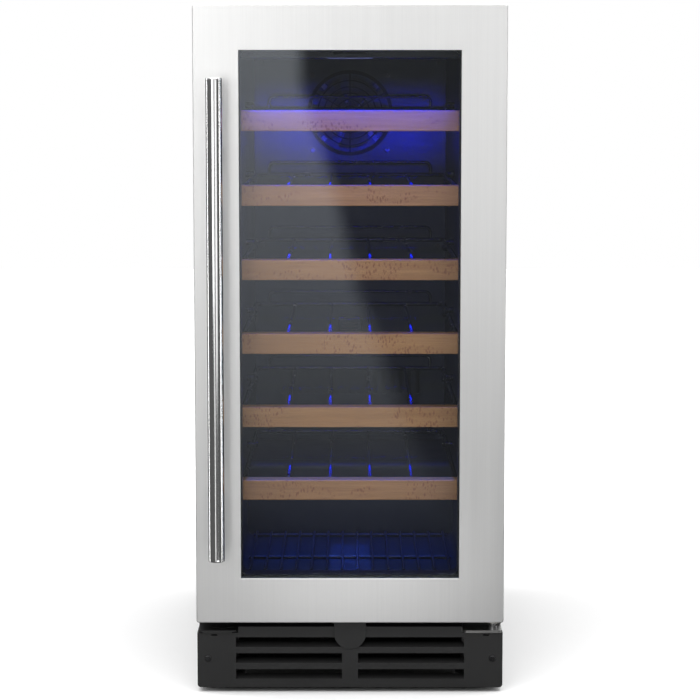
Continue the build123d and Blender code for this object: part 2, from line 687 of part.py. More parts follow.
def circulation_fan():
    """The fan that draws cabinet air into the duct."""
    spot = Plane(origin=at(0, DUCT_FACE + 3.5, FAN_Z), z_dir=(0, 1, 0))
    return spot * (fan(50.0, 15.0, 13.0, 5) - Pos(0, 0, 6) * Cylinder(1.56, 20))


def fan_motors():
    """Both fan motors, each with its shaft."""
    rear = DUCT_FACE + 3.5 + 13.0 + 0.8
    duct = rod((0, rear, FAN_Z), (0, CAVITY_BACK - 2, FAN_Z), 19.0)
    duct += rod((0, rear - 12, FAN_Z), (0, rear, FAN_Z), 1.5)
    for turn in (0, 90):
        arm = Rot(0, 0, 45 + turn) * Rectangle(112, 7)
        duct += panel(Pos(0, FAN_Z) * arm, (CAVITY_BACK - 3, CAVITY_BACK))
    depth = COMPRESSOR_DEPTH
    room = rod((SHROUD_X + 16, depth, AXIS_Z), (SHROUD_X + 40, depth, AXIS_Z), 17.0)
    room += rod((SHROUD_X + 3, depth, AXIS_Z), (SHROUD_X + 16, depth, AXIS_Z), 1.5)
    return [duct, room]


def serpentine(start, step_run, step_row, passes):
    """The corner points of a coil, from its first end, its run and its row steps."""
    points = [start]
    here = start
    for number in range(passes):
        sign = 1 if number % 2 == 0 else -1
        here = tuple(c + sign * r for c, r in zip(here, step_run))
        points.append(here)
        if number < passes - 1:
            here = tuple(c + r for c, r in zip(here, step_row))
            points.append(here)
    return points


def evaporator_top():
    """The height of the evaporator's last pass."""
    return EVAPORATOR_LOW + EVAPORATOR_PITCH * (EVAPORATOR_PASSES - 1)


def evaporator():
    """The finned coil behind the duct cover."""
    start = (-112.0, EVAPORATOR_DEPTH, EVAPORATOR_LOW)
    points = serpentine(start, (224, 0, 0), (0, 0, EVAPORATOR_PITCH), EVAPORATOR_PASSES)
    coil = tube(points, COIL_TUBE, EVAPORATOR_PITCH * 0.45)
    height = (EVAPORATOR_LOW - 11, evaporator_top() + 11)
    for step in range(-9, 10):
        x = step * 10.0
        coil += block((x - 0.3, x + 0.3), (EVAPORATOR_DEPTH - 11, EVAPORATOR_DEPTH + 11), height)
    return coil


def condenser():
    """The finned coil beside the compressor."""
    start = (CONDENSER_X, 370.0, 168.0)
    coil = tube(serpentine(start, (0, 176, 0), (0, 0, -18), 7), COIL_TUBE, 8.0)
    for step in range(17):
        depth = 388 + step * 9.0
        coil += block((CONDENSER_X - 25, CONDENSER_X + 25), (depth - 0.3, depth + 0.3), (48, 180))
    return coil


# ---------------------------------------------------------------- machine room


def compressor():
    """The welded compressor shell with its pipes and foot plate, and its relay box."""
    x, depth, radius = COMPRESSOR_X, COMPRESSOR_DEPTH, COMPRESSOR_RADIUS
    shell = rod((x, depth, 48), (x, depth, 160), radius)
    shell = fillet(shell.edges().group_by(Axis.Z)[-1], 30.0)
    shell = fillet(shell.edges().group_by(Axis.Z)[0], 14.0)
    shell += rod((x, depth, 98), (x, depth, 102), radius + 2)
    plate = Pos(x, depth) * RectangleRounded(150, 128, 10)
    for mount_x, mount_depth in grommet_spots():
        plate -= Pos(mount_x, mount_depth) * Circle(6.2)
    shell += sheet(plate, (46, 49))
    for pipe_x in (x - 25, x + 25):
        shell += rod((pipe_x, depth - 35, 130), (pipe_x, depth - 35, 170), COIL_TUBE)
    relay = block((x - 22, x + 22), (depth + 62.5, depth + 92), (74, 128))
    relay = fillet(relay.edges().filter_by(Axis.Y), 5.0)
    return [shell, relay]


def grommet_spots():
    """The compressor's four mounts, as (x, depth)."""
    return [(COMPRESSOR_X + i * 62, COMPRESSOR_DEPTH + j * 52) for i in (-1, 1) for j in (-1, 1)]


def compressor_grommets():
    """The rubber mounts that the foot plate stands on."""
    mounts = []
    for x, depth in grommet_spots():
        mount = rod((x, depth, CABINET_LOW + 1.2), (x, depth, 46), 10.0)
        mount += rod((x, depth, 46), (x, depth, 49), 6.1)
        mount += rod((x, depth, 49), (x, depth, 53), 9.0)
        mounts.append(mount)
    return mounts


def condenser_fan_shroud():
    """The plate that the condenser fan blows through, with arms for its motor."""
    depth, x = COMPRESSOR_DEPTH, (SHROUD_X - 7, SHROUD_X + 5)
    shroud = block(x, (depth - 84, depth + 84), (CABINET_LOW + 1.2, 180))
    shroud -= block((x[0] - 1, x[1] - 2), (depth - 81, depth + 81), (CABINET_LOW + 4, 177))
    shroud -= rod((x[0] - 2, depth, AXIS_Z), (x[1] + 2, depth, AXIS_Z), 60.0)
    shroud += rod((x[1] - 2, depth, AXIS_Z), (x[1] + 6, depth, AXIS_Z), 63.0) - rod(
        (x[1] - 3, depth, AXIS_Z), (x[1] + 7, depth, AXIS_Z), 60.0
    )
    arm, arm_x = 2.4, (SHROUD_X + 11, SHROUD_X + 15.8)
    for turn in (45, 135):
        reach = Vector(0, math.cos(math.radians(turn)), math.sin(math.radians(turn))) * 62
        start = (arm_x[0] + arm, depth - reach.Y, AXIS_Z - reach.Z)
        shroud += rod(start, (arm_x[0] + arm, depth + reach.Y, AXIS_Z + reach.Z), arm)
    shroud += rod((arm_x[0], depth, AXIS_Z), (arm_x[1], depth, AXIS_Z), 15.0)
    for turn in (45, 135, 225, 315):
        reach = Vector(0, math.cos(math.radians(turn)), math.sin(math.radians(turn))) * 61.5
        foot_point = (x[1] - 1, depth + reach.Y, AXIS_Z + reach.Z)
        shroud += rod(foot_point, (arm_x[1] - 2, depth + reach.Y, AXIS_Z + reach.Z), arm)
    return shroud - rod((SHROUD_X, depth, AXIS_Z), (arm_x[1] + 1, depth, AXIS_Z), 2.0)


def condenser_fan():
    """The fan that draws air through the condenser."""
    spot = Plane(origin=at(SHROUD_X - 5, COMPRESSOR_DEPTH, AXIS_Z), z_dir=(1, 0, 0))
    return spot * (fan(56.0, 16.0, 13.0, 5) - Pos(0, 0, 6) * Cylinder(1.56, 20))


def refrigerant_line():
    """The pipes of the cold circuit, with the filter drier in the liquid line."""
    x, depth = COMPRESSOR_X, COMPRESSOR_DEPTH - 35
    foam, top = FOAM_LINE_DEPTH, evaporator_top()
    discharge = [
        (x - 25, depth, 170), (x - 25, depth, 186), (CONDENSER_X, depth, 186),
        (CONDENSER_X, 361, 186), (CONDENSER_X, 361, 168), (CONDENSER_X, 370, 168),
    ]
    suction = [
        (x + 25, depth, 170), (x + 25, depth, 186), (x + 25, foam, 186),
        (x + 25, foam, top), (x + 25, EVAPORATOR_DEPTH, top), (112, EVAPORATOR_DEPTH, top),
    ]
    outlet = (CONDENSER_X, 546, 60)
    liquid = [outlet, (CONDENSER_X, 552, 60), (-60, 552, 60), (-60, 552, 72)]
    capillary = [
        (-60, foam, 132), (-60, foam, 216), (-120, foam, 216), (-120, foam, EVAPORATOR_LOW),
        (-120, EVAPORATOR_DEPTH, EVAPORATOR_LOW), (-112, EVAPORATOR_DEPTH, EVAPORATOR_LOW),
    ]
    drier = rod((-60, foam, 72), (-60, foam, 132), 8.5)
    drier = fillet(drier.edges(), 4.0)
    return [
        tube(discharge, 3.0, 4.0), tube(suction, 3.5, 3.8), tube(liquid, 2.5, 2.9),
        tube(capillary, 1.5, 3.8), drier,
    ]


def drain_tray():
    """The tray where melt water evaporates, and the pipe that feeds it."""
    tray = block((-20, 16), (386, 536), (CABINET_LOW + 1.4, 52))
    tray = fillet(tray.edges().filter_by(Axis.Z), 6.0)
    tray -= block((-18, 14), (388, 534), (34, 53))
    pipe = rod((*DRAIN_SPOT, 44), (*DRAIN_SPOT, HUMP_TOP), 5.0)
    pipe -= rod((*DRAIN_SPOT, 43), (*DRAIN_SPOT, HUMP_TOP + 1), 4.0)
    return [tray, pipe]


# ---------------------------------------------------------------- controls and light


def control_housing():
    """The box under the ceiling for the controls and the light."""
    body = block((-PANEL_HALF, PANEL_HALF), (PANEL_FRONT, PANEL_BACK), (PANEL_LOW, CAVITY_HIGH - 0.3))
    body = fillet(body.edges().filter_by(Axis.Z), 4.0)
    body = fillet(body.edges().filter_by(Axis.X).group_by(Axis.Z)[0], 1.5)
    body &= tapered_box(-0.3)
    inner = PANEL_HALF - 10
    body -= block((-inner, inner), (PANEL_FRONT + 2, PANEL_BACK - 2), (PANEL_LOW + 2, CAVITY_HIGH))
    body -= block((-20.1, 20.1), (PANEL_FRONT - 1, PANEL_FRONT + 3), (790.9, 801.1))
    body -= block((-28.1, 28.1), (57.9, 69.1), (PANEL_LOW - 1, PANEL_LOW + 3))
    for x in BUTTON_SPOTS:
        body -= rod((x, PANEL_FRONT - 1, BUTTON_Z), (x, PANEL_FRONT + 3, BUTTON_Z), BUTTON_RADIUS + 0.15)
    return body


def light_lens():
    """The diffuser of the interior light."""
    lens = block((-28, 28), (58, 69), (PANEL_LOW - 1, PANEL_LOW + 2))
    lens = fillet(lens.faces().sort_by(Axis.Z)[0].edges(), 0.6)
    return lens + block((-30, 30), (56.5, 71), (PANEL_LOW + 2.05, PANEL_LOW + 3))


def display_window():
    """The dark window over the temperature display."""
    window = block((-20, 20), (PANEL_FRONT - 0.6, PANEL_FRONT + 2), (791, 801))
    return window + block((-22, 22), (PANEL_FRONT + 2, PANEL_FRONT + 3), (789.5, 802.5))


def button(x):
    """A push button whose flange stops it behind the housing's front wall."""
    cap = rod((x, PANEL_FRONT - 1.2, BUTTON_Z), (x, PANEL_FRONT + 3.2, BUTTON_Z), BUTTON_RADIUS)
    cap = fillet(cap.edges().group_by(Axis.Y)[0], 0.6)
    return cap + rod((x, PANEL_FRONT + 2.1, BUTTON_Z), (x, PANEL_FRONT + 3.2, BUTTON_Z), BUTTON_RADIUS + 1)


def control_board():
    """The circuit board behind the buttons, with their switches and the light's strip."""
    board = block((-60, 60), (PANEL_FRONT + 8, PANEL_FRONT + 9.6), (790, 803))
    for x in BUTTON_SPOTS:
        board += block((x - 3, x + 3), (PANEL_FRONT + 4.8, PANEL_FRONT + 8), (BUTTON_Z - 3, BUTTON_Z + 3))
    return board + block((-19, 19), (PANEL_FRONT + 4, PANEL_FRONT + 8), (791.5, 800.5))


# ---------------------------------------------------------------- shelves


def shelf_heights():
    """The height of each shelf's wooden front, from the top shelf down."""
    return [SHELF_TOP - SHELF_PITCH * number for number in range(SHELF_COUNT)]


def fascia(top):
    """The wooden front rail of a shelf."""
    rail = block((-FASCIA_HALF, FASCIA_HALF), (FASCIA_FRONT, FASCIA_BACK), (top - FASCIA_HEIGHT, top))
    rail = fillet(rail.edges().filter_by(Axis.Z), 2.0)
    return fillet(rail.edges().filter_by(Axis.X), 1.2)


def rack(top):
    """A shelf's welded wire deck, with its front strip and its raised bottle stop."""
    z = top - RAIL_DROP
    front = FASCIA_BACK
    rim = [
        (-RAIL_X, front + 0.8, z), (-RAIL_X, RACK_BACK, z),
        (RAIL_X, RACK_BACK, z), (RAIL_X, front + 0.8, z),
    ]
    deck = tube(rim, RAIL_RADIUS, 10.0)
    deck += block((-RAIL_X - 3, RAIL_X + 3), (front, front + 1.2), (z - 13, z + 2.5))
    for x in DECK_WIRES:
        deck += rod((x, front + 0.6, z), (x, RACK_BACK, z), WIRE_RADIUS)
    stop = [
        (-STOP_HALF, RACK_BACK, z), (-STOP_HALF, RACK_BACK, z + STOP_RISE),
        (STOP_HALF, RACK_BACK, z + STOP_RISE), (STOP_HALF, RACK_BACK, z),
    ]
    return deck + tube(stop, WIRE_RADIUS, 8.0)


def shelf_pegs():
    """The pegs in the side walls that carry each shelf's rails and keep them from tipping."""
    room = cavity()
    pegs = []
    for top in shelf_heights():
        below = top - RAIL_DROP - RAIL_RADIUS - PEG_GAP - PEG_RADIUS
        above = top - RAIL_DROP + RAIL_RADIUS + PEG_GAP + PEG_RADIUS
        for depth, z in ((112.0, below), (400.0, below), (306.0, above)):
            peg = rod((RAIL_X - 4, depth, z), (HALF - 35, depth, z), PEG_RADIUS)
            peg = fillet(peg.edges().group_by(Axis.X)[0], 1.2) & room
            pegs += mirrored(peg)
    return pegs


def floor_rack():
    """The wire grid on the interior's floor."""
    cross_z = CAVITY_LOW + WIRE_RADIUS + 0.3
    grid = None
    for depth in (70.0, 153.0, 292.0):
        wire = rod((-FLOOR_RACK_HALF, depth, cross_z), (FLOOR_RACK_HALF, depth, cross_z), WIRE_RADIUS)
        grid = wire if grid is None else grid + wire
    for number in range(14):
        x = (number - 6.5) * 19.5
        grid += rod((x, 64.0, cross_z + 3.2), (x, 298.0, cross_z + 3.2), 1.5)
    return grid


# ---------------------------------------------------------------- fasteners


def case_screws():
    """Every screw that shows: grille, hinges, back, rear cover, duct cover and fan guard."""
    front, rear = (0, -1, 0), (0, 1, 0)
    screws = []
    for side in (-1, 1):
        screws.append(screw(side * GRILLE_SCREW_X, GRILLE_FRONT, GRILLE_SCREW_Z, front, 40.5))
    screws += [screw(x, CABINET_FRONT - BRACKET_THICK, 62, front, 9) for x in (150, 168)]
    for x, depth in upper_screw_spots():
        screws.append(screw(x, depth, CABINET_TOP + BRACKET_THICK, (0, 0, 1), 3.9, 2.0, 3.8, 1.0))
    for side in (-1, 1):
        for z in (215, 400, 620, 825):
            screws.append(screw(side * 183, REAR_FACE, z, rear, 0.9))
        for z in (45, 180):
            screws.append(screw(side * 183, REAR_FACE, z, rear, 0.9))
        for z in (FAN_Z - 53.5, FAN_Z + 53.5):
            screws.append(screw(side * 53.5, DUCT_FACE, z, front, 0.2))
        screws.append(screw(side * 127, DUCT_FACE, 524, front, 0.2))
        screws.append(screw(side * 127, DUCT_FACE, 786, front, 0.2))
    return screws


def build():
    """Writes every node."""
    save("door_skin", door_skin())
    save("door_liner", door_liner())
    save("glass_panes", glass_panes())
    save("glass_spacer", glass_spacer())
    save("door_gasket", gasket())
    save("handle_bar", handle_bar())
    save("handle_mounts", handle_mounts())
    save("hinge_bushings", hinge_bushings())
    save("hinge_brackets", hinge_brackets())
    save("hinge_pins", hinge_pins())
    save("spare_hinge_cover", spare_hinge_cover())
    save("kick_plate", kick_plate())
    save("kick_plate_tab", kick_plate_tab())
    save("outer_wrap", outer_wrap())
    save("back_panel", back_panel())
    save("rear_cover", rear_cover())
    save("cord_gland", cord_gland())
    save("base_pan", base_pan())
    for name, (x, depth) in zip(("front_left", "front_right", "rear_left", "rear_right"), foot_spots()):
        save(f"foot_{name}", foot(x, depth))
    save("machine_room_divider", machine_room_divider())
    save("liner", liner())
    pipes, drain = refrigerant_line(), drain_tray()
    save("insulation", insulation([outer_wrap(), *pipes, *drain]))
    save("refrigerant_line", pipes)
    save("drain_tray", drain)
    save("duct_cover", duct_cover())
    save("fan_grille", fan_grille())
    save("circulation_fan", circulation_fan())
    save("fan_motors", fan_motors())
    save("evaporator", evaporator())
    save("condenser", condenser())
    save("compressor", compressor())
    save("compressor_grommets", compressor_grommets())
    save("condenser_fan_shroud", condenser_fan_shroud())
    save("condenser_fan", condenser_fan())
    save("control_housing", control_housing())
    save("light_lens", light_lens())
    save("display_window", display_window())
    save("control_board", control_board())
    for number, x in enumerate(BUTTON_SPOTS, 1):
        save(f"button_{number}", button(x))
    for number, top in enumerate(shelf_heights(), 1):
        save(f"shelf_{number}_front", fascia(top))
        save(f"shelf_{number}_rack", rack(top))
    save("shelf_pegs", shelf_pegs())
    save("floor_rack", floor_rack())
    save("case_screws", case_screws())


build()
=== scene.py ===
"""A built-in wine cooler: its finishes, its finer pieces, its studio and its camera."""

import logging
import math
from collections.abc import Callable, Iterable
from dataclasses import dataclass, field
from enum import Enum
from typing import Any

import bmesh
import bpy
from mathutils import Matrix, Vector


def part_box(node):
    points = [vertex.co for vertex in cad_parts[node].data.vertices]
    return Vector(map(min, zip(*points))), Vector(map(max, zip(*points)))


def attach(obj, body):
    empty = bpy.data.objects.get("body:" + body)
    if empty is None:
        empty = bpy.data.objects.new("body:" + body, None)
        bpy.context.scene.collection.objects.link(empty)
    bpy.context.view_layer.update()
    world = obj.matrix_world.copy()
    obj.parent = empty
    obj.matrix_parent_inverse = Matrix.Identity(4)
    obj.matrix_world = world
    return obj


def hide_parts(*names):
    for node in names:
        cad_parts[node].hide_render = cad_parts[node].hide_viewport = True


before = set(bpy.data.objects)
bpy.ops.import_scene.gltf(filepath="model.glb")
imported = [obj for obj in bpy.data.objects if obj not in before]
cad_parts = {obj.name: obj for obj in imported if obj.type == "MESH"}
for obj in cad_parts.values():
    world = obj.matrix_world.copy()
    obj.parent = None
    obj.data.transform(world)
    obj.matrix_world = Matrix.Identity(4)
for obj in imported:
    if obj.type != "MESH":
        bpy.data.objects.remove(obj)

log = logging.getLogger("wine_cooler")

Colour = tuple[float, float, float, float]
Point = tuple[float, float, float]
Pair = tuple[float, float]

MM = 0.001
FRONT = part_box("door_skin")[0].y


def dimmed(colour: Colour, factor: float) -> Colour:
    """Returns a colour made darker or lighter by a factor."""
    return (min(colour[0] * factor, 1), min(colour[1] * factor, 1), min(colour[2] * factor, 1), 1.0)


def place(x: float, depth: float, z: float) -> Vector:
    """Returns a point given in millimetres, its depth counted back from the door's face."""
    return Vector((x * MM, FRONT + depth * MM, z * MM))


class Grain(Enum):
    """The direction in which a finish is drawn out."""

    ACROSS = (0, 1, 1)
    UPRIGHT = (1, 1, 0)

    def stretch(self, fine: float, coarse: float) -> Point:
        """Returns a pattern's scale: fine across the grain and coarse along it."""
        x, y, z = (fine if across else coarse for across in self.value)
        return (x, y, z)


class Sock:
    """A socket whose arithmetic adds Math nodes to its material."""

    def __init__(self, shader: "Shader", socket: bpy.types.NodeSocket) -> None:
        """Keeps the socket and the shader it belongs to."""
        self.shader = shader
        self.socket = socket

    def _math(self, operation: str, *values: "Sock | float") -> "Sock":
        """Returns the result of a Math node on these values."""
        return self.shader.node("Math", {"operation": operation}, dict(enumerate(values)))

    def __add__(self, other: "Sock | float") -> "Sock":
        """Returns the sum."""
        return self._math("ADD", self, other)

    __radd__ = __add__

    def __sub__(self, other: "Sock | float") -> "Sock":
        """Returns the difference."""
        return self._math("SUBTRACT", self, other)

    def __rsub__(self, other: "Sock | float") -> "Sock":
        """Returns a number less this socket."""
        return self._math("SUBTRACT", other, self)

    def __mul__(self, other: "Sock | float") -> "Sock":
        """Returns the product."""
        return self._math("MULTIPLY", self, other)

    __rmul__ = __mul__

    def ramp(self, low: float, high: float) -> "Sock":
        """Adds a smooth step.

        Args:
            low: Where the result is 0.
            high: Where it is 1.

        Returns:
            The stepped value.
        """
        settings = {"interpolation_type": "SMOOTHSTEP"}
        inputs = {"Value": self, "From Min": low, "From Max": high}
        return self.shader.node("MapRange", settings, inputs)


class Shader:
    """A node material that ends in one Principled shader."""

    def __init__(self, name: str) -> None:
        """Makes the empty material.

        Args:
            name: The material's name.
        """
        self.material = bpy.data.materials.new(name)
        self.material.use_nodes = True
        self.tree = self.material.node_tree
        self.tree.nodes.clear()

    def node(
        self,
        kind: str,
        settings: dict[str, Any] | None = None,
        inputs: dict[str | int, Any] | None = None,
        output: str | int = 0,
    ) -> Sock:
        """Adds a node.

        Args:
            kind: The node's type without its ShaderNode prefix.
            settings: The node's own settings, which are set first.
            inputs: Values or links, by socket name or number.
            output: The socket to return.

        Returns:
            The wrapped output socket.
        """
        node = self.tree.nodes.new(f"ShaderNode{kind}")
        for name, value in (settings or {}).items():
            setattr(node, name, value)
        for key, value in (inputs or {}).items():
            if isinstance(value, Sock):
                self.tree.links.new(value.socket, node.inputs[key])
            else:
                node.inputs[key].default_value = value
        return Sock(self, node.outputs[output])

    def coords(self, scale: Point = (1, 1, 1)) -> Sock:
        """Returns Object coordinates, scaled."""
        source = self.node("TexCoord", output="Object")
        return self.node("Mapping", None, {"Vector": source, "Scale": scale})

    def axis(self, number: int) -> Sock:
        """Returns one of the Object coordinates: x, y or z."""
        return self.node("SeparateXYZ", None, {0: self.coords()}, number)

    def noise(self, scale: Point, detail: float = 3.0, rough: float = 0.5) -> Sock:
        """Returns noise from 0 to 1, by its scale along each axis."""
        inputs = {"Vector": self.coords(scale), "Scale": 1.0, "Detail": detail, "Roughness": rough}
        return self.node("TexNoise", None, inputs)

    def cells(self, scale: Point, feature: str = "F1", output: str = "Distance") -> Sock:
        """Returns a cell pattern, by its scale along each axis."""
        inputs = {"Vector": self.coords(scale), "Scale": 1.0}
        return self.node("TexVoronoi", {"feature": feature}, inputs, output)

    def mix(self, factor: Sock | float, first: Any, second: Any) -> Sock:
        """Returns a blend of two colours."""
        return self.node("Mix", {"data_type": "RGBA"}, {0: factor, 6: first, 7: second}, 2)

    def height(self, value: Sock, distance: float, strength: float = 1.0) -> Sock:
        """Returns a bumped normal for a height from 0 to 1, its depth in metres."""
        return self.node("Bump", None, {"Height": value, "Distance": distance, "Strength": strength})

    def finish(self, surface: Sock) -> bpy.types.Material:
        """Joins a surface to the output.

        Args:
            surface: The shader that the material shows.

        Returns:
            The finished material.
        """
        output = self.tree.nodes.new("ShaderNodeOutputMaterial")
        self.tree.links.new(surface.socket, output.inputs["Surface"])
        return self.material

    def principled(self, inputs: dict[str | int, Any]) -> bpy.types.Material:
        """Returns the material with one Principled shader set up by these inputs."""
        return self.finish(self.node("BsdfPrincipled", None, inputs))


# ---------------------------------------------------------------- finishes


@dataclass(frozen=True)
class BrushedSteel:
    """Sheet or bar with fine drawn lines."""

    name: str
    colour: Colour
    roughness: float
    grain: Grain = Grain.UPRIGHT
    depth: float = 0.00004

    def make(self) -> bpy.types.Material:
        """Builds the finish: fine lines, broader drawn streaks and faint handling marks.

        Returns:
            The finished material.
        """
        shader = Shader(self.name)
        fine = shader.noise(self.grain.stretch(2600, 9), 4.0, 0.6)
        streak = shader.noise(self.grain.stretch(330, 1.6), 3.0, 0.55)
        marks = shader.noise((7, 7, 5), 4.0, 0.6)
        lines = fine * 0.65 + streak * 0.35
        return shader.principled(
            {
                "Base Color": shader.mix(lines, dimmed(self.colour, 0.9), dimmed(self.colour, 1.08)),
                "Metallic": 1.0,
                "Roughness": (lines - 0.5) * 0.22 + self.roughness + (marks - 0.5) * 0.05,
                "Normal": shader.height(lines, self.depth),
            }
        )


@dataclass(frozen=True)
class Galvanised:
    """Zinc-coated sheet with its flowers."""

    name: str
    colour: Colour
    roughness: float

    def make(self) -> bpy.types.Material:
        """Builds the finish: crystals of differing brightness with a dull bloom.

        Returns:
            The finished material.
        """
        shader = Shader(self.name)
        flower = shader.node("SeparateColor", None, {0: shader.cells((150, 150, 150), output="Color")})
        bloom = shader.noise((22, 22, 22), 4.0)
        tone = flower * 0.6 + bloom * 0.4
        return shader.principled(
            {
                "Base Color": shader.mix(tone, dimmed(self.colour, 0.88), dimmed(self.colour, 1.07)),
                "Metallic": 1.0,
                "Roughness": self.roughness + (flower - 0.5) * 0.08 + (bloom - 0.5) * 0.08,
                "Normal": shader.height(bloom, 0.00008),
            }
        )


@dataclass(frozen=True)
class PowderCoat:
    """Paint baked on steel."""

    name: str
    colour: Colour
    roughness: float
    peel: float = 0.00003

    def make(self) -> bpy.types.Material:
        """Builds the finish: an orange-peel skin with slight wear in its sheen.

        Returns:
            The finished material.
        """
        shader = Shader(self.name)
        skin = shader.noise((520, 520, 520), 2.0)
        wear = shader.noise((14, 14, 14), 5.0, 0.65)
        return shader.principled(
            {
                "Base Color": shader.mix(wear, dimmed(self.colour, 0.85), dimmed(self.colour, 1.25)),
                "Roughness": self.roughness + (wear - 0.5) * 0.14,
                "Specular IOR Level": 0.5,
                "Normal": shader.height(skin, self.peel),
            }
        )


@dataclass(frozen=True)
class Moulding:
    """Moulded or vacuum-formed plastic."""

    name: str
    colour: Colour
    roughness: float
    grain_size: float = 1400.0
    depth: float = 0.00004
    gloss_level: float = 0.5

    def make(self) -> bpy.types.Material:
        """Builds the finish: a spark-eroded grain, slight flow tones and rubbed patches.

        Returns:
            The finished material.
        """
        shader = Shader(self.name)
        size = self.grain_size
        pits = shader.cells((size, size, size))
        flow = shader.noise((18, 18, 9), 4.0, 0.6)
        rubbed = shader.noise((55, 55, 40), 3.0)
        return shader.principled(
            {
                "Base Color": shader.mix(flow, dimmed(self.colour, 0.86), dimmed(self.colour, 1.18)),
                "Roughness": self.roughness + (flow - 0.5) * 0.1 + (rubbed - 0.5) * 0.08,
                "Specular IOR Level": self.gloss_level,
                "Normal": shader.height(pits, self.depth),
            }
        )


@dataclass(frozen=True)
class Beech:
    """Steamed beech, sanded and lightly oiled."""

    name: str
    light: Colour
    dark: Colour
    fleck: Colour
    fleck_strength: float = 0.7

    def make(self) -> bpy.types.Material:
        """Builds the finish: broad growth bands, fine fibres and short darker flecks.

        Returns:
            The finished material.
        """
        shader = Shader(self.name)
        bands = shader.noise((3.5, 60, 75), 3.0, 0.6)
        fibres = shader.noise(Grain.ACROSS.stretch(800, 20), 3.0, 0.6)
        flecks = shader.cells((360, 100, 170))
        clusters = shader.noise((22, 22, 60), 2.0)
        fleck = (1 - flecks.ramp(0.24, 0.46)) * clusters.ramp(0.48, 0.60)
        ground = shader.mix(bands.ramp(0.3, 0.72), self.light, self.dark)
        ground = shader.mix(fibres.ramp(0.35, 0.75) * 0.5, ground, dimmed(self.dark, 0.75))
        return shader.principled(
            {
                "Base Color": shader.mix(fleck * self.fleck_strength, ground, self.fleck),
                "Roughness": 0.42 + (fibres - 0.5) * 0.2,
                "Normal": shader.height(fibres * 0.6 - fleck * 0.4, 0.00006),
            }
        )


@dataclass(frozen=True)
class Glazing:
    """Grey tinted float glass: what is behind it shows through, and it mirrors a little."""

    name: str
    tint: Colour
    gloss: Colour
    mirror: float
    blur: float
    ior: float = 1.45
    strongest: float = 0.9

    def make(self) -> bpy.types.Material:
        """Builds the finish: a clear tint under a mirror that strengthens at the edges.

        Returns:
            The finished material.
        """
        shader = Shader(self.name)
        smear = shader.noise((9, 9, 4), 4.0, 0.6)
        clear = shader.node("BsdfTransparent", None, {"Color": self.tint})
        sheen = {"Color": self.gloss, "Roughness": self.blur}
        gleam = shader.node("BsdfAnisotropic", {"distribution": "GGX"}, sheen)
        fresnel = shader.node("Fresnel", None, {"IOR": self.ior})
        outer = 1 - shader.node("NewGeometry", output="Backfacing")
        gain = fresnel * outer * (smear * 0.16 + 0.92) * self.mirror
        factor = shader.node("Math", {"operation": "MINIMUM"}, {0: gain, 1: self.strongest})
        return shader.finish(shader.node("MixShader", None, {0: factor, 1: clear, 2: gleam}))


@dataclass(frozen=True)
class Elastomer:
    """Soft black rubber or vinyl."""

    name: str
    colour: Colour

    def make(self) -> bpy.types.Material:
        """Builds the finish: dull with a talc-like bloom.

        Returns:
            The finished material.
        """
        shader = Shader(self.name)
        bloom = shader.noise((60, 60, 60), 5.0, 0.7)
        skin = shader.noise((700, 700, 700), 2.0)
        return shader.principled(
            {
                "Base Color": shader.mix(bloom, self.colour, dimmed(self.colour, 1.9)),
                "Roughness": 0.62 + bloom * 0.2,
                "Normal": shader.height(skin, 0.00003),
            }
        )


@dataclass(frozen=True)
class BareMetal:
    """Tube or fin stock as it comes from the mill, with tarnish."""

    name: str
    colour: Colour
    tarnish: Colour
    roughness: float

    def make(self) -> bpy.types.Material:
        """Builds the finish: clean metal that dulls in clouds.

        Returns:
            The finished material.
        """
        shader = Shader(self.name)
        clouds = shader.noise((35, 35, 35), 5.0, 0.65)
        rub = shader.noise((400, 400, 400), 3.0)
        return shader.principled(
            {
                "Base Color": shader.mix(clouds.ramp(0.35, 0.75), self.colour, self.tarnish),
                "Metallic": 1.0,
                "Roughness": self.roughness + clouds * 0.18 + (rub - 0.5) * 0.1,
                "Normal": shader.height(rub, 0.00002),
            }
        )


@dataclass(frozen=True)
class Diffuser:
    """The light's frosted lens, lit from behind."""

    name: str
    colour: Colour
    strength: float
    lamp_pitch: float = 0.014

    def make(self) -> bpy.types.Material:
        """Builds the finish: brighter over each lamp behind it.

        Returns:
            The finished material.
        """
        shader = Shader(self.name)
        phase = shader.axis(0) * (2 * math.pi / self.lamp_pitch)
        lamps = shader.node("Math", {"operation": "COSINE"}, {0: phase})
        glow = lamps * 0.2 + 0.8
        return shader.principled(
            {
                "Base Color": (0.2, 0.22, 0.4, 1),
                "Roughness": 0.35,
                "Emission Color": shader.mix(glow, (0, 0, 0, 1), self.colour),
                "Emission Strength": self.strength,
            }
        )


@dataclass(frozen=True)
class RigidFoam:
    """Blown foam between the liner and the shell."""

    name: str
    colour: Colour

    def make(self) -> bpy.types.Material:
        """Builds the finish: closed cells under a mottled skin.

        Returns:
            The finished material.
        """
        shader = Shader(self.name)
        cells = shader.cells((420, 420, 420))
        mottle = shader.noise((25, 25, 25), 4.0)
        return shader.principled(
            {
                "Base Color": shader.mix(mottle, dimmed(self.colour, 0.8), self.colour),
                "Roughness": 0.85,
                "Normal": shader.height(cells, 0.0004),
            }
        )


@dataclass(frozen=True)
class PrintedBoard:
    """A solder-masked circuit board."""

    name: str
    colour: Colour

    def make(self) -> bpy.types.Material:
        """Builds the finish: tracks that show as raised lighter lines.

        Returns:
            The finished material.
        """
        shader = Shader(self.name)
        track = shader.cells((260, 1, 420), "DISTANCE_TO_EDGE").ramp(0.05, 0.09)
        return shader.principled(
            {
                "Base Color": shader.mix(track, dimmed(self.colour, 1.9), self.colour),
                "Roughness": 0.3 + track * 0.1,
                "Normal": shader.height(1 - track, 0.00005),
            }
        )


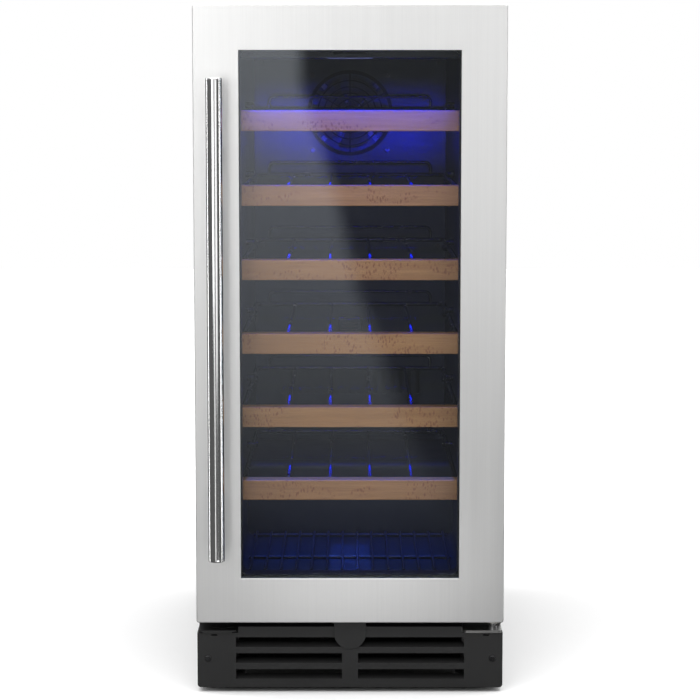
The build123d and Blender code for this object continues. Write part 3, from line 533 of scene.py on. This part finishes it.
Finish = (
    BrushedSteel | Galvanised | PowderCoat | Moulding | Beech | Glazing
    | Elastomer | BareMetal | Diffuser | RigidFoam | PrintedBoard
)


class Palette:
    """Makes each finish's material once."""

    def __init__(self) -> None:
        """Starts empty."""
        self.made: dict[str, bpy.types.Material] = {}

    def get(self, finish: Finish) -> bpy.types.Material:
        """Looks a finish up.

        Args:
            finish: The finish wanted.

        Returns:
            Its material, made on its first use.
        """
        if finish.name not in self.made:
            self.made[finish.name] = finish.make()
        return self.made[finish.name]


STEEL = BrushedSteel("stainless", (0.80, 0.80, 0.795, 1), 0.40)
HANDLE_STEEL = BrushedSteel("handle_steel", (0.75, 0.75, 0.75, 1), 0.15, depth=0.00001)
BRACKET_STEEL = Galvanised("bracket_zinc", (0.34, 0.34, 0.335, 1), 0.36)
ZINC_SHEET = Galvanised("zinc_sheet", (0.72, 0.73, 0.74, 1), 0.48)
CASE_PAINT = PowderCoat("case_paint", (0.022, 0.022, 0.024, 1), 0.42)
WIRE_COAT = PowderCoat("wire_coat", (0.011, 0.0115, 0.013, 1), 0.26, 0.00001)
GRID_COAT = PowderCoat("grid_coat", (0.02, 0.022, 0.03, 1), 0.5, 0.00001)
# The liner is black plastic; the blue in its colour is painted light, standing in for the cabinet lamp's blue
# cast.
LINER_PLASTIC_BLUE_CAST = Moulding("liner_plastic_blue_cast", (0.013, 0.020, 0.029, 1), 0.42, 2400.0, 0.000008)
PANEL_PLASTIC = Moulding("panel_plastic", (0.012, 0.013, 0.016, 1), 0.3, 1500.0, 0.00001)
WINDOW_PLASTIC = Moulding("window_plastic", (0.006, 0.006, 0.009, 1), 0.12, 2000.0, 0.000004)
DOOR_PLASTIC = Moulding("door_plastic", (0.018, 0.018, 0.02, 1), 0.4)
TOE_PLASTIC = Moulding("toe_plastic", (0.0135, 0.0135, 0.0137, 1), 0.5, 1500.0, 0.00003, 0.32)
FAN_PLASTIC = Moulding("fan_plastic", (0.03, 0.03, 0.034, 1), 0.38)
PEG_PLASTIC = Moulding("peg_plastic", (0.012, 0.013, 0.016, 1), 0.22, 1500.0, 0.00001)
GUARD_PLASTIC = Moulding("guard_plastic", (0.006, 0.007, 0.009, 1), 0.62, 2000.0, 0.000008, 0.2)
NYLON = Moulding("nylon", (0.72, 0.70, 0.64, 1), 0.4, 1500.0, 0.00001)
FOOT_PLASTIC = Moulding("foot_plastic", (0.03, 0.03, 0.03, 1), 0.5)
GLASS = Glazing("tinted_glass", (0.95, 0.955, 0.96, 1), (0.87, 0.93, 1.0, 1), 2.0, 0.02)
SPACER = BareMetal("spacer_aluminium", (0.30, 0.33, 0.31, 1), (0.18, 0.20, 0.19, 1), 0.45)
SEAL = Elastomer("seal_vinyl", (0.018, 0.018, 0.019, 1))
GROMMET = Elastomer("grommet_rubber", (0.02, 0.02, 0.02, 1))
BEECH = Beech("beech", (0.51, 0.27, 0.104, 1), (0.40, 0.20, 0.073, 1), (0.23, 0.07, 0.028, 1))
COIL = BareMetal("coil_aluminium", (0.78, 0.79, 0.80, 1), (0.55, 0.56, 0.57, 1), 0.3)
COPPER = BareMetal("copper_tube", (0.86, 0.44, 0.28, 1), (0.42, 0.20, 0.12, 1), 0.22)
COMPRESSOR_PAINT = PowderCoat("compressor_paint", (0.012, 0.012, 0.012, 1), 0.3)
# The base pan's black paint, made darker than the case paint as painted shade, so the toe grille's slots look
# dark inside.
PAN_PAINT_PAINTED_SHADE = PowderCoat("pan_paint_painted_shade", (0.005, 0.005, 0.005, 1), 0.75)
MOTOR_PAINT = PowderCoat("motor_paint", (0.16, 0.16, 0.165, 1), 0.4)
SCREW_STEEL = BareMetal("screw_steel", (0.07, 0.07, 0.072, 1), (0.035, 0.035, 0.036, 1), 0.22)
PIN_STEEL = BareMetal("pin_steel", (0.30, 0.30, 0.30, 1), (0.18, 0.18, 0.18, 1), 0.25)
LENS = Diffuser("light_lens", (0.03, 0.05, 1.0, 1), 0.08)
FOAM = RigidFoam("rigid_foam", (0.80, 0.70, 0.44, 1))
BOARD = PrintedBoard("circuit_board", (0.02, 0.13, 0.06, 1))


# ---------------------------------------------------------------- mesh tools


@dataclass
class Piece:
    """One finished piece: its name, body, material slot and finish."""

    name: str
    body: str
    slot: str
    finish: Finish
    stands_for: tuple[str, ...] = ()
    smooth_angle: float = 35.0


def finish_mesh(shape: bmesh.types.BMesh, piece: Piece, palette: Palette) -> bpy.types.Object:
    """Turns a bmesh into a piece that rides on its body.

    Args:
        shape: The geometry, in metres and in its place. It is freed.
        piece: What the piece is.
        palette: Where its material comes from.

    Returns:
        The new object.
    """
    bmesh.ops.remove_doubles(shape, verts=shape.verts, dist=1e-6)
    bmesh.ops.recalc_face_normals(shape, faces=shape.faces)
    for face in shape.faces:
        face.smooth = True
    sharp = math.radians(piece.smooth_angle)
    for edge in shape.edges:
        edge.smooth = len(edge.link_faces) == 2 and edge.calc_face_angle(0.0) < sharp
    mesh = bpy.data.meshes.new(piece.name)
    shape.to_mesh(mesh)
    shape.free()
    mesh.materials.append(palette.get(piece.finish))
    made = bpy.data.objects.new(piece.name, mesh)
    bpy.context.scene.collection.objects.link(made)
    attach(made, piece.body)
    if piece.stands_for:
        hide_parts(*piece.stands_for)
    log.info("piece %s: %d faces", piece.name, len(mesh.polygons))
    return made


def turned(shape: bmesh.types.BMesh, outline: Iterable[Pair], spot: Matrix, steps: int) -> None:
    """Spins an outline about its own z axis and sets it in place.

    Args:
        shape: The mesh to add to.
        outline: Points of radius and height in metres, from one end to the other.
        spot: The place and direction of the axis.
        steps: How many steps the full turn has.
    """
    before = set(shape.verts)
    verts = [shape.verts.new((radius, 0.0, height)) for radius, height in outline]
    edges = [shape.edges.new(pair) for pair in zip(verts, verts[1:])]
    bmesh.ops.spin(
        shape, geom=verts + edges, cent=(0, 0, 0), axis=(0, 0, 1), angle=2 * math.pi,
        steps=steps, use_merge=True,
    )
    bmesh.ops.transform(shape, matrix=spot, verts=[vert for vert in shape.verts if vert not in before])


def mitred_ring(
    shape: bmesh.types.BMesh, section: Iterable[Pair], half: float, low: float, high: float
) -> None:
    """Runs a closed section round a rectangle with mitred corners.

    Args:
        shape: The mesh to add to.
        section: Points of inset and depth, in metres, round the section.
        half: The rectangle's half width.
        low: Its lower edge.
        high: Its upper edge.
    """
    loops = []
    middle, reach = (low + high) / 2, (high - low) / 2
    for side_x, side_z in ((-1, -1), (1, -1), (1, 1), (-1, 1)):
        verts = [
            shape.verts.new((side_x * (half - inset), FRONT + depth, middle + side_z * (reach - inset)))
            for inset, depth in section
        ]
        loops.append([shape.edges.new(pair) for pair in zip(verts, verts[1:] + verts[:1])])
    for first, second in zip(loops, loops[1:] + loops[:1]):
        bmesh.ops.bridge_loops(shape, edges=first + second)


def upward(x: float, depth: float, z: float) -> Matrix:
    """Returns the placement of an axis that points up from a point in millimetres."""
    return Matrix.Translation(place(x, depth, z))


def inward(x: float, depth: float, z: float) -> Matrix:
    """Returns the placement of an axis that points into the cabinet."""
    return Matrix.Translation(place(x, depth, z)) @ Matrix.Rotation(-math.pi / 2, 4, "X")


def sideways(x: float, depth: float, z: float) -> Matrix:
    """Returns the placement of an axis that points to the hinge side."""
    return Matrix.Translation(place(x, depth, z)) @ Matrix.Rotation(math.pi / 2, 4, "Y")


# ---------------------------------------------------------------- sub-assemblies


@dataclass
class Handle:
    """The round bar and its posts."""

    palette: Palette
    x: float = -162.0
    depth: float = -38.0
    radius: float = 10.0
    low: float = 177.0
    high: float = 762.0
    post_heights: tuple[float, float] = (257.5, 683.5)
    post_radius: float = 6.0

    def build(self) -> None:
        """Builds the bar with its pressed end caps, and the posts with their seats."""
        self._bar()
        self._posts()

    def _bar(self) -> None:
        """Spins the bar, with a fine joint line round each end cap."""
        shape = bmesh.new()
        r, top = self.radius, self.high - self.low
        end = [(0.0, 0.0), (r - 1.6, 0.0), (r - 0.7, 0.25), (r - 0.2, 0.8), (r, 1.6)]
        joint = [(r, 4.0), (r - 0.22, 4.12), (r - 0.22, 4.3), (r, 4.42)]
        lower = end + joint
        upper = [(radius, top - height) for radius, height in reversed(lower)]
        outline = [(radius * MM, height * MM) for radius, height in lower + upper]
        turned(shape, outline, upward(self.x, self.depth, self.low), 96)
        piece = Piece("handle_tube", "door", "bright_steel", HANDLE_STEEL, ("handle_bar",))
        finish_mesh(shape, piece, self.palette)

    def _posts(self) -> None:
        """Spins both posts: a waisted stem, and a seat washer on the door."""
        shape = bmesh.new()
        r = self.post_radius
        length = -self.depth
        start = math.sqrt(self.radius**2 - r**2) - 0.6
        stem = [
            (0.0, start), (r, start), (r, 11.0), (r - 0.6, 12.2), (r - 0.6, 28.0), (r, 29.4),
            (r, length - 2.3), (r + 1.5, length - 1.5), (r + 1.5, length - 0.25),
            (r + 1.25, length), (0.0, length),
        ]
        outline = [(radius * MM, height * MM) for radius, height in stem]
        for height in self.post_heights:
            turned(shape, outline, inward(self.x, self.depth, height), 64)
        piece = Piece("handle_posts", "door", "bright_steel", HANDLE_STEEL, ("handle_mounts",))
        finish_mesh(shape, piece, self.palette)


@dataclass
class DoorTrim:
    """The rolled edge of the window and the magnetic seal."""

    palette: Palette
    window: tuple[float, float, float] = (135.0, 146.7, 795.4)
    seal: tuple[float, float, float] = (165.0, 117.0, 826.0)

    def build(self) -> None:
        """Builds the window's rolled edge and the seal."""
        self._rolled_edge()
        self._seal()

    def _rolled_edge(self) -> None:
        """Runs a half-round lip round the window, where the skin is turned in."""
        shape = bmesh.new()
        points = []
        for step in range(9):
            angle = math.radians(180 * step / 8)
            points.append(((-0.1 + 0.55 * math.sin(angle)) * MM, (0.55 - 0.5 * math.cos(angle)) * MM))
        half, low, high = (value * MM for value in self.window)
        mitred_ring(shape, [(-0.9 * MM, 0.05 * MM)] + points + [(-0.9 * MM, 1.05 * MM)], half, low, high)
        finish_mesh(shape, Piece("window_edge", "door", "stainless", STEEL), self.palette)

    def _seal(self) -> None:
        """Runs the seal's section: a dart strip, bellows folds and the magnet sleeve."""
        section = [
            (2.0, 42.0), (12.0, 42.0), (12.6, 42.8), (12.0, 43.6), (10.6, 43.9), (9.6, 44.4), (9.6, 45.0),
            (11.6, 45.6), (13.2, 46.2), (13.6, 47.4), (13.2, 49.0), (12.2, 49.8), (7.0, 50.0), (1.6, 49.8),
            (0.7, 49.0), (0.4, 47.6), (1.0, 46.4), (3.4, 45.7), (4.0, 45.1), (3.2, 44.5), (1.6, 44.0),
            (0.9, 43.2), (1.2, 42.4),
        ]
        shape = bmesh.new()
        half, low, high = (value * MM for value in self.seal)
        mitred_ring(shape, [(inset * MM, depth * MM) for inset, depth in section], half, low, high)
        piece = Piece("door_seal", "door", "seal_rubber", SEAL, ("door_gasket",), 50.0)
        finish_mesh(shape, piece, self.palette)


@dataclass
class FanWheel:
    """An axial fan wheel with swept, twisted blades."""

    palette: Palette
    name: str
    node: str
    spot: Matrix
    radius: float
    hub: float
    height: float = 13.0
    blades: int = 5
    wall: float = 1.6
    blade_thickness: float = 1.1
    camber: float = 2.2

    def build(self) -> None:
        """Spins the hub and turns the blades round it."""
        shape = bmesh.new()
        r, h, inside = self.hub * MM, self.height * MM, (self.hub - self.wall) * MM
        hub = [(0.0, 0.0), (r * 0.7, 0.0), (r * 0.9, 0.0006), (r, 0.0022), (r, h), (inside, h)]
        hub += [(inside, 0.003), (0.0, 0.003)]
        turned(shape, hub, Matrix.Identity(4), 40)
        for number in range(self.blades):
            self._blade(shape, 2 * math.pi * number / self.blades)
        bmesh.ops.transform(shape, matrix=self.spot, verts=shape.verts)
        piece = Piece(self.name, self.node, "fan_plastic", FAN_PLASTIC, (self.node,), 40.0)
        finish_mesh(shape, piece, self.palette)

    def _blade(self, shape: bmesh.types.BMesh, turn: float) -> None:
        """Shapes one blade from a grid: narrow at the hub, broad and flatter at the tip.

        Args:
            shape: The mesh to add to.
            turn: The blade's angle about the axis.
        """
        grid = bmesh.ops.create_grid(shape, x_segments=8, y_segments=6, size=0.5)["verts"]
        inner, outer = (self.hub - 0.8) * MM, (self.radius - 0.6) * MM
        for vert in grid:
            along, across = vert.co.x + 0.5, vert.co.y
            radius = inner + (outer - inner) * along
            sweep = across * (1.05 - 0.12 * along) + 0.22 * along * along
            rise = -across * (0.78 - 0.16 * along) * self.height * MM
            lift = (0.25 - across * across) * self.camber * MM
            vert.co = (
                radius * math.cos(sweep),
                radius * math.sin(sweep),
                self.height * MM / 2 + rise + lift,
            )
        faces = list({face for vert in grid for face in vert.link_faces})
        made = bmesh.ops.solidify(shape, geom=faces, thickness=self.blade_thickness * MM)
        verts = {v for v in made["geom"] if isinstance(v, bmesh.types.BMVert)} | set(grid)
        bmesh.ops.rotate(shape, cent=(0, 0, 0), matrix=Matrix.Rotation(turn, 3, "Z"), verts=list(verts))


@dataclass
class LevellingFoot:
    """A pad with a rubber sole on a threaded stud."""

    palette: Palette
    name: str
    x: float
    depth: float
    hexagon: tuple[float, float, float] = (9.9, 8.7, 19.9)
    stud: tuple[float, float, float] = (3.6, 3.98, 50.0)
    pitch: float = 1.3
    turns: int = 22

    def build(self) -> None:
        """Spins the pad and the thread's crests, and adds the spanner hexagon."""
        shape = bmesh.new()
        pad = [
            (0.0, 0.0), (14.6, 0.0), (15.4, 0.3), (15.6, 1.6), (16.4, 2.0), (17.0, 2.8), (17.0, 6.4),
            (16.4, 7.6), (14.0, 8.8), (11.4, 9.0), (0.0, 9.0),
        ]
        turned(shape, [(r * MM, z * MM) for r, z in pad], upward(self.x, self.depth, 0), 56)
        radius, low, high = self.hexagon
        hexagon = bmesh.ops.create_cone(
            shape, cap_ends=True, segments=6, radius1=radius * MM, radius2=radius * MM,
            depth=(high - low) * MM, matrix=upward(self.x, self.depth, (low + high) / 2),
        )
        rim = {edge for vert in hexagon["verts"] for edge in vert.link_edges}
        bmesh.ops.bevel(
            shape, geom=list(rim), offset=0.6 * MM, segments=2, profile=0.5, affect="EDGES", material=-1
        )
        turned(shape, self._thread(), upward(self.x, self.depth, 0), 28)
        node = f"foot_{self.name}"
        piece = Piece(f"level_{self.name}", node, "foot_plastic", FOOT_PLASTIC, (node,), 32.0)
        finish_mesh(shape, piece, self.palette)

    def _thread(self) -> list[Pair]:
        """Draws the stud with its rows of crests.

        Returns:
            The outline's points of radius and height.
        """
        root, crest, top = self.stud
        outline = [(0.0, 19.5), (root, 19.5)]
        for step in range(self.turns):
            low = 20.0 + step * self.pitch
            outline += [(root, low), (crest, low + 0.5), (crest, low + 0.7)]
        outline += [(root, top - 1.2), (root - 0.8, top - 0.1), (0.0, top)]
        return [(radius * MM, height * MM) for radius, height in outline]


@dataclass
class Cabinet:
    """Every carried-over node and the finish it wears."""

    palette: Palette
    finishes: dict[str, Finish] = field(
        default_factory=lambda: {
            "door_skin": STEEL, "door_liner": DOOR_PLASTIC, "glass_panes": GLASS, "glass_spacer": SPACER,
            "door_gasket": SEAL, "handle_bar": HANDLE_STEEL, "handle_mounts": HANDLE_STEEL,
            "hinge_bushings": NYLON, "hinge_brackets": BRACKET_STEEL, "hinge_pins": PIN_STEEL,
            "spare_hinge_cover": TOE_PLASTIC, "kick_plate": TOE_PLASTIC, "kick_plate_tab": TOE_PLASTIC,
            "outer_wrap": CASE_PAINT, "back_panel": ZINC_SHEET, "rear_cover": CASE_PAINT,
            "cord_gland": GROMMET,
            "base_pan": PAN_PAINT_PAINTED_SHADE, "machine_room_divider": CASE_PAINT, "liner": LINER_PLASTIC_BLUE_CAST,
            "insulation": FOAM, "refrigerant_line": COPPER, "drain_tray": LINER_PLASTIC_BLUE_CAST,
            "duct_cover": LINER_PLASTIC_BLUE_CAST, "fan_grille": GUARD_PLASTIC, "fan_motors": MOTOR_PAINT,
            "evaporator": COIL, "condenser": COIL, "compressor": COMPRESSOR_PAINT,
            "compressor_grommets": GROMMET, "condenser_fan_shroud": FAN_PLASTIC,
            "control_housing": PANEL_PLASTIC, "light_lens": LENS, "display_window": WINDOW_PLASTIC,
            "control_board": BOARD, "shelf_pegs": PEG_PLASTIC, "floor_rack": GRID_COAT,
            "case_screws": SCREW_STEEL, "circulation_fan": FAN_PLASTIC, "condenser_fan": FAN_PLASTIC,
        }
    )

    def build(self) -> None:
        """Dresses every node."""
        for number in range(1, 7):
            self.finishes[f"shelf_{number}_front"] = BEECH
            self.finishes[f"shelf_{number}_rack"] = WIRE_COAT
        for number in range(1, 5):
            self.finishes[f"button_{number}"] = PANEL_PLASTIC
        for name in ("front_left", "front_right", "rear_left", "rear_right"):
            self.finishes[f"foot_{name}"] = FOOT_PLASTIC
        for name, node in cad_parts.items():
            material = self.palette.get(self.finishes[name])
            for slot in node.material_slots:
                slot.material = material
            log.info("node %s wears %s", name, material.name)


# ---------------------------------------------------------------- studio


class Glow(Enum):
    """The colours of the light inside the cabinet."""

    BLUE = (0.0, 0.012, 1.0)
    COLD = (0.05, 0.14, 1.0)


@dataclass(frozen=True)
class Beam:
    """A small light inside the cabinet, its place and aim in millimetres."""

    name: str
    spot: Point
    towards: Point
    size: Pair
    power: float
    spread: float
    glow: Glow = Glow.BLUE


@dataclass
class Studio:
    """The floor, the room's light, the softboxes and the camera."""

    distance: float = 2.6
    eye: float = 0.75
    shift: float = -0.055
    aim: float = 0.4786
    focal: float = 110.3
    sensor: float = 36.0
    card_gap: float = 2.2
    panel_gap: float = 2.75
    room_span: Pair = (-0.05, 0.8)
    room_level: Pair = (0.115, 0.9)
    painted_shade_across: Pair = (0.15, 0.185)
    painted_shade_along: Pair = (0.20, 0.27)
    panel_fade: Point = (0.84, 0.40, 0.04)

    def build(self) -> None:
        """Sets up everything round the object."""
        scene = bpy.context.scene
        scene.view_settings.view_transform = "Standard"
        self._room(scene)
        self._floor()
        self._softboxes()
        self._cabinet_light()
        self._camera(scene)

    def _room(self, scene: bpy.types.Scene) -> None:
        """Makes the room white to the camera, and to the object's surfaces a grey that darkens downwards.

        Args:
            scene: The scene that it lights.
        """
        world = bpy.data.worlds.new("room")
        world.use_nodes = True
        scene.world = world
        nodes, links = world.node_tree.nodes, world.node_tree.links
        nodes.clear()
        coords = nodes.new("ShaderNodeTexCoord")
        split = nodes.new("ShaderNodeSeparateXYZ")
        ramp = nodes.new("ShaderNodeMapRange")
        ramp.interpolation_type = "SMOOTHSTEP"
        limits = zip(("From Min", "From Max", "To Min", "To Max"), self.room_span + self.room_level)
        for name, value in limits:
            ramp.inputs[name].default_value = value
        path = nodes.new("ShaderNodeLightPath")
        mix = nodes.new("ShaderNodeMix")
        mix.data_type = "FLOAT"
        mix.inputs[3].default_value = 1.0
        background = nodes.new("ShaderNodeBackground")
        background.inputs["Color"].default_value = (1.0, 1.0, 1.0, 1.0)
        output = nodes.new("ShaderNodeOutputWorld")
        links.new(coords.outputs["Generated"], split.inputs[0])
        links.new(split.outputs["Z"], ramp.inputs["Value"])
        links.new(path.outputs["Is Camera Ray"], mix.inputs[0])
        links.new(ramp.outputs["Result"], mix.inputs[2])
        links.new(mix.outputs[0], background.inputs["Strength"])
        links.new(background.outputs[0], output.inputs["Surface"])

    def _floor(self) -> None:
        """Lays a plain pale floor, its colour darkened as painted shade under the object."""
        shape = bmesh.new()
        bmesh.ops.create_grid(shape, x_segments=4, y_segments=4, size=6.0)
        mesh = bpy.data.meshes.new("floor")
        shape.to_mesh(mesh)
        shape.free()
        shader = Shader("floor")
        mottle = shader.noise((2, 2, 2), 3.0)
        pale = shader.mix(mottle, (0.88, 0.88, 0.88, 1), (0.92, 0.92, 0.92, 1))
        across, along = (
            shader.node("Math", {"operation": "ABSOLUTE"}, {0: shader.axis(number)}) for number in range(2)
        )
        # Painted shade: over the object's footprint the floor's colour falls to a dark grey.
        under = (1 - across.ramp(*self.painted_shade_across)) * (1 - along.ramp(*self.painted_shade_along))
        away = shader.node("VectorMath", {"operation": "LENGTH"}, {0: shader.coords()}, 1)
        mesh.materials.append(
            shader.principled(
                {
                    "Base Color": shader.mix(under, pale, (0.16, 0.16, 0.16, 1)),
                    "Roughness": 0.9,
                    "Specular IOR Level": 0.0,
                    "Emission Color": shader.mix(away.ramp(0.5, 2.0), (0, 0, 0, 1), (1, 1, 1, 1)),
                    "Emission Strength": 0.8,
                }
            )
        )
        floor = bpy.data.objects.new("floor", mesh)
        bpy.context.scene.collection.objects.link(floor)
        floor.visible_glossy = False

    def _area(
        self, name: str, spot: Point, towards: Point, size: Pair, power: float, **settings: Any
    ) -> None:
        """Adds a rectangular light.

        Args:
            name: The light's name.
            spot: Where it stands.
            towards: The point it faces.
            size: Its width and height.
            power: Its power in watts.
            **settings: Other settings of the light.
        """
        data = bpy.data.lights.new(name, "AREA")
        data.shape = "RECTANGLE"
        data.size, data.size_y = size
        data.energy = power
        for key, value in settings.items():
            setattr(data, key, value)
        light = bpy.data.objects.new(name, data)
        light.location = spot
        light.visible_camera = False
        light.rotation_euler = (Vector(towards) - Vector(spot)).to_track_quat("-Z", "Y").to_euler()
        bpy.context.scene.collection.objects.link(light)

    def _softboxes(self) -> None:
        """Places the large lights: above, in front, at both sides, behind, and the cards the door mirrors."""
        self._area("overhead", (0.0, -0.6, 2.6), (0.0, -0.2, 0.0), (3.2, 2.6), 55.0)
        self._area("front_high", (-0.3, -1.9, 2.0), (0.0, -0.26, 0.5), (2.6, 1.0), 17.0)
        self._area("left_side", (-2.3, 0.35, 0.35), (0.0, -0.15, 0.35), (0.26, 3.4), 14.0)
        self._area("right_side", (2.4, -0.70, 0.35), (0.0, -0.2, 0.35), (0.24, 3.4), 12.0)
        self._area("rear_fill", (0.5, 2.6, 1.3), (0.0, 0.3, 0.45), (2.2, 1.4), 16.0)
        away = FRONT - self.card_gap
        self._area("left_high", (-0.80, away, 0.80), (-0.80, 0.0, 0.80), (0.94, 1.06), 7.0)
        self._area("left_low", (-0.48, away, -0.275), (-0.48, 0.0, -0.275), (0.30, 1.05), 1.5)
        self._area("right_card", (0.95, away, 0.62), (0.95, 0.0, 0.62), (1.26, 1.1), 5.4)
        self._area("floor_card", (0.03, FRONT - 0.48, 0.004), (0.03, FRONT - 0.48, 1.0), (0.28, 0.24), 0.42)
        self._haze_panel()

    def _haze_panel(self) -> None:
        """Hangs the big front panel whose curved edge shows in the window."""
        edge = (
            (-66, 1310), (-61, 785), (-60, 751), (-37, 683), (-27, 648), (-12, 591), (-4, 555), (8, 503),
            (24, 466), (39, 415), (54, 373), (73, 324), (91, 289), (115, 240), (140, 190), (160, 100),
        )
        spread = 1 + self.panel_gap / self.distance
        shape = bmesh.new()
        bright = shape.verts.layers.float.new("bright")
        rows = []
        for x, z in edge:
            middle, height = x * MM * spread, self.eye + (z * MM - self.eye) * spread
            soft = 0.028 + 0.03 * max(0.8 - z * MM, 0)
            row = []
            for across, level in ((-0.30, 1.0), (middle - soft, 1.0), (middle, 0.5), (middle + soft, 0.0)):
                vert = shape.verts.new((across, FRONT - self.panel_gap, height))
                vert[bright] = level
                row.append(vert)
            rows.append(row)
        for upper, lower in zip(rows, rows[1:]):
            for one, two, three, four in zip(upper, upper[1:], lower[1:], lower):
                shape.faces.new((one, two, three, four))
        mesh = bpy.data.meshes.new("front_panel")
        shape.to_mesh(mesh)
        shape.free()
        shader = Shader("front_panel")
        level = shader.node("Attribute", {"attribute_name": "bright"}, output="Fac").ramp(0.0, 1.0)
        slope, level_at_floor, least = self.panel_fade
        brightness = shader.axis(2) * slope + level_at_floor
        fade = shader.node("Math", {"operation": "MAXIMUM"}, {0: brightness, 1: least})
        glow = shader.node("Emission", None, {"Color": (1, 1, 1, 1), "Strength": fade})
        clear = shader.node("BsdfTransparent")
        mesh.materials.append(shader.finish(shader.node("MixShader", None, {0: level, 1: clear, 2: glow})))
        panel = bpy.data.objects.new("front_panel", mesh)
        bpy.context.scene.collection.objects.link(panel)
        panel.visible_camera = False

    def _cabinet_light(self) -> None:
        """Lights the inside with the lens's blue: the top, the floor, and a glint on each shelf."""
        beams = [
            Beam("lens_front", (0, 47, 748), (0, 62, 690), (0.25, 0.006), 0.34, 1.6),
            Beam("lens_back", (0, 95, 700), (0, 480, 690), (0.26, 0.02), 0.085, 0.36),
            Beam("lens_left", (0, 190, 698), (-140, 190, 694), (0.24, 0.012), 0.07, 0.7),
            Beam("lens_right", (0, 190, 698), (140, 190, 694), (0.24, 0.012), 0.07, 0.7),
            Beam("lens_rear", (0, 71, 784), (0, 160, 560), (0.20, 0.006), 0.4, 1.9),
            Beam("floor_wash", (0, 170, 262), (0, 170, 100), (0.26, 0.24), 0.34, 1.4, Glow.COLD),
            Beam("floor_beam", (0, 150, 215), (0, 150, 100), (0.05, 0.18), 0.06, 0.12, Glow.COLD),
        ]
        for number in range(2, 7):
            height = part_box(f"shelf_{number}_front")[1].z / MM + 4
            spot, towards = (0, 190, height), (0, 60, height - 14)
            beams.append(Beam(f"glint_{number}", spot, towards, (0.18, 0.003), 0.002, 1.0))
        for beam in beams:
            self._area(
                beam.name, tuple(place(*beam.spot)), tuple(place(*beam.towards)), beam.size, beam.power,
                color=beam.glow.value, spread=beam.spread,
            )

    def _camera(self, scene: bpy.types.Scene) -> None:
        """Stands the camera in front at eye height, tilted slightly down.

        Args:
            scene: The scene that it looks at.
        """
        data = bpy.data.cameras.new("camera")
        data.sensor_width = self.sensor
        data.lens = self.focal
        data.shift_y = self.shift
        camera = bpy.data.objects.new("camera", data)
        camera.location = (0.0, FRONT - self.distance, self.eye)
        towards = Vector((0.0, FRONT, self.aim)) - camera.location
        camera.rotation_euler = towards.to_track_quat("-Z", "Y").to_euler()
        scene.collection.objects.link(camera)
        scene.camera = camera


def build_all(steps: Iterable[tuple[str, Callable[[], None]]]) -> None:
    """Runs each builder in order and reports it.

    Args:
        steps: What each builder makes, and the call that makes it.
    """
    for name, build in steps:
        build()
        log.info("built %s", name)


def main() -> None:
    """Builds the studio, dresses the nodes and makes the finer pieces."""
    logging.basicConfig(level=logging.INFO, format="%(name)s: %(message)s")
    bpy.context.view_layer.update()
    palette = Palette()
    feet = {
        "front_left": (-150.0, 84.0), "front_right": (150.0, 84.0),
        "rear_left": (-150.0, 542.0), "rear_right": (150.0, 542.0),
    }
    duct_spot, condenser_spot = inward(0, 493.5, 714), sideways(-39, 455, 112)
    duct_fan = FanWheel(palette, "duct_fan_wheel", "circulation_fan", duct_spot, 50.0, 15.0)
    condenser_fan = FanWheel(palette, "condenser_fan_wheel", "condenser_fan", condenser_spot, 56.0, 16.0)
    steps: list[tuple[str, Callable[[], None]]] = [
        ("studio", Studio().build),
        ("cabinet", Cabinet(palette).build),
        ("handle", Handle(palette).build),
        ("door trim", DoorTrim(palette).build),
        ("circulation fan", duct_fan.build),
        ("condenser fan", condenser_fan.build),
    ]
    for name, (x, depth) in feet.items():
        steps.append((f"foot {name}", LevellingFoot(palette, name, x, depth).build))
    build_all(steps)


if __name__ == "__main__":
    main()
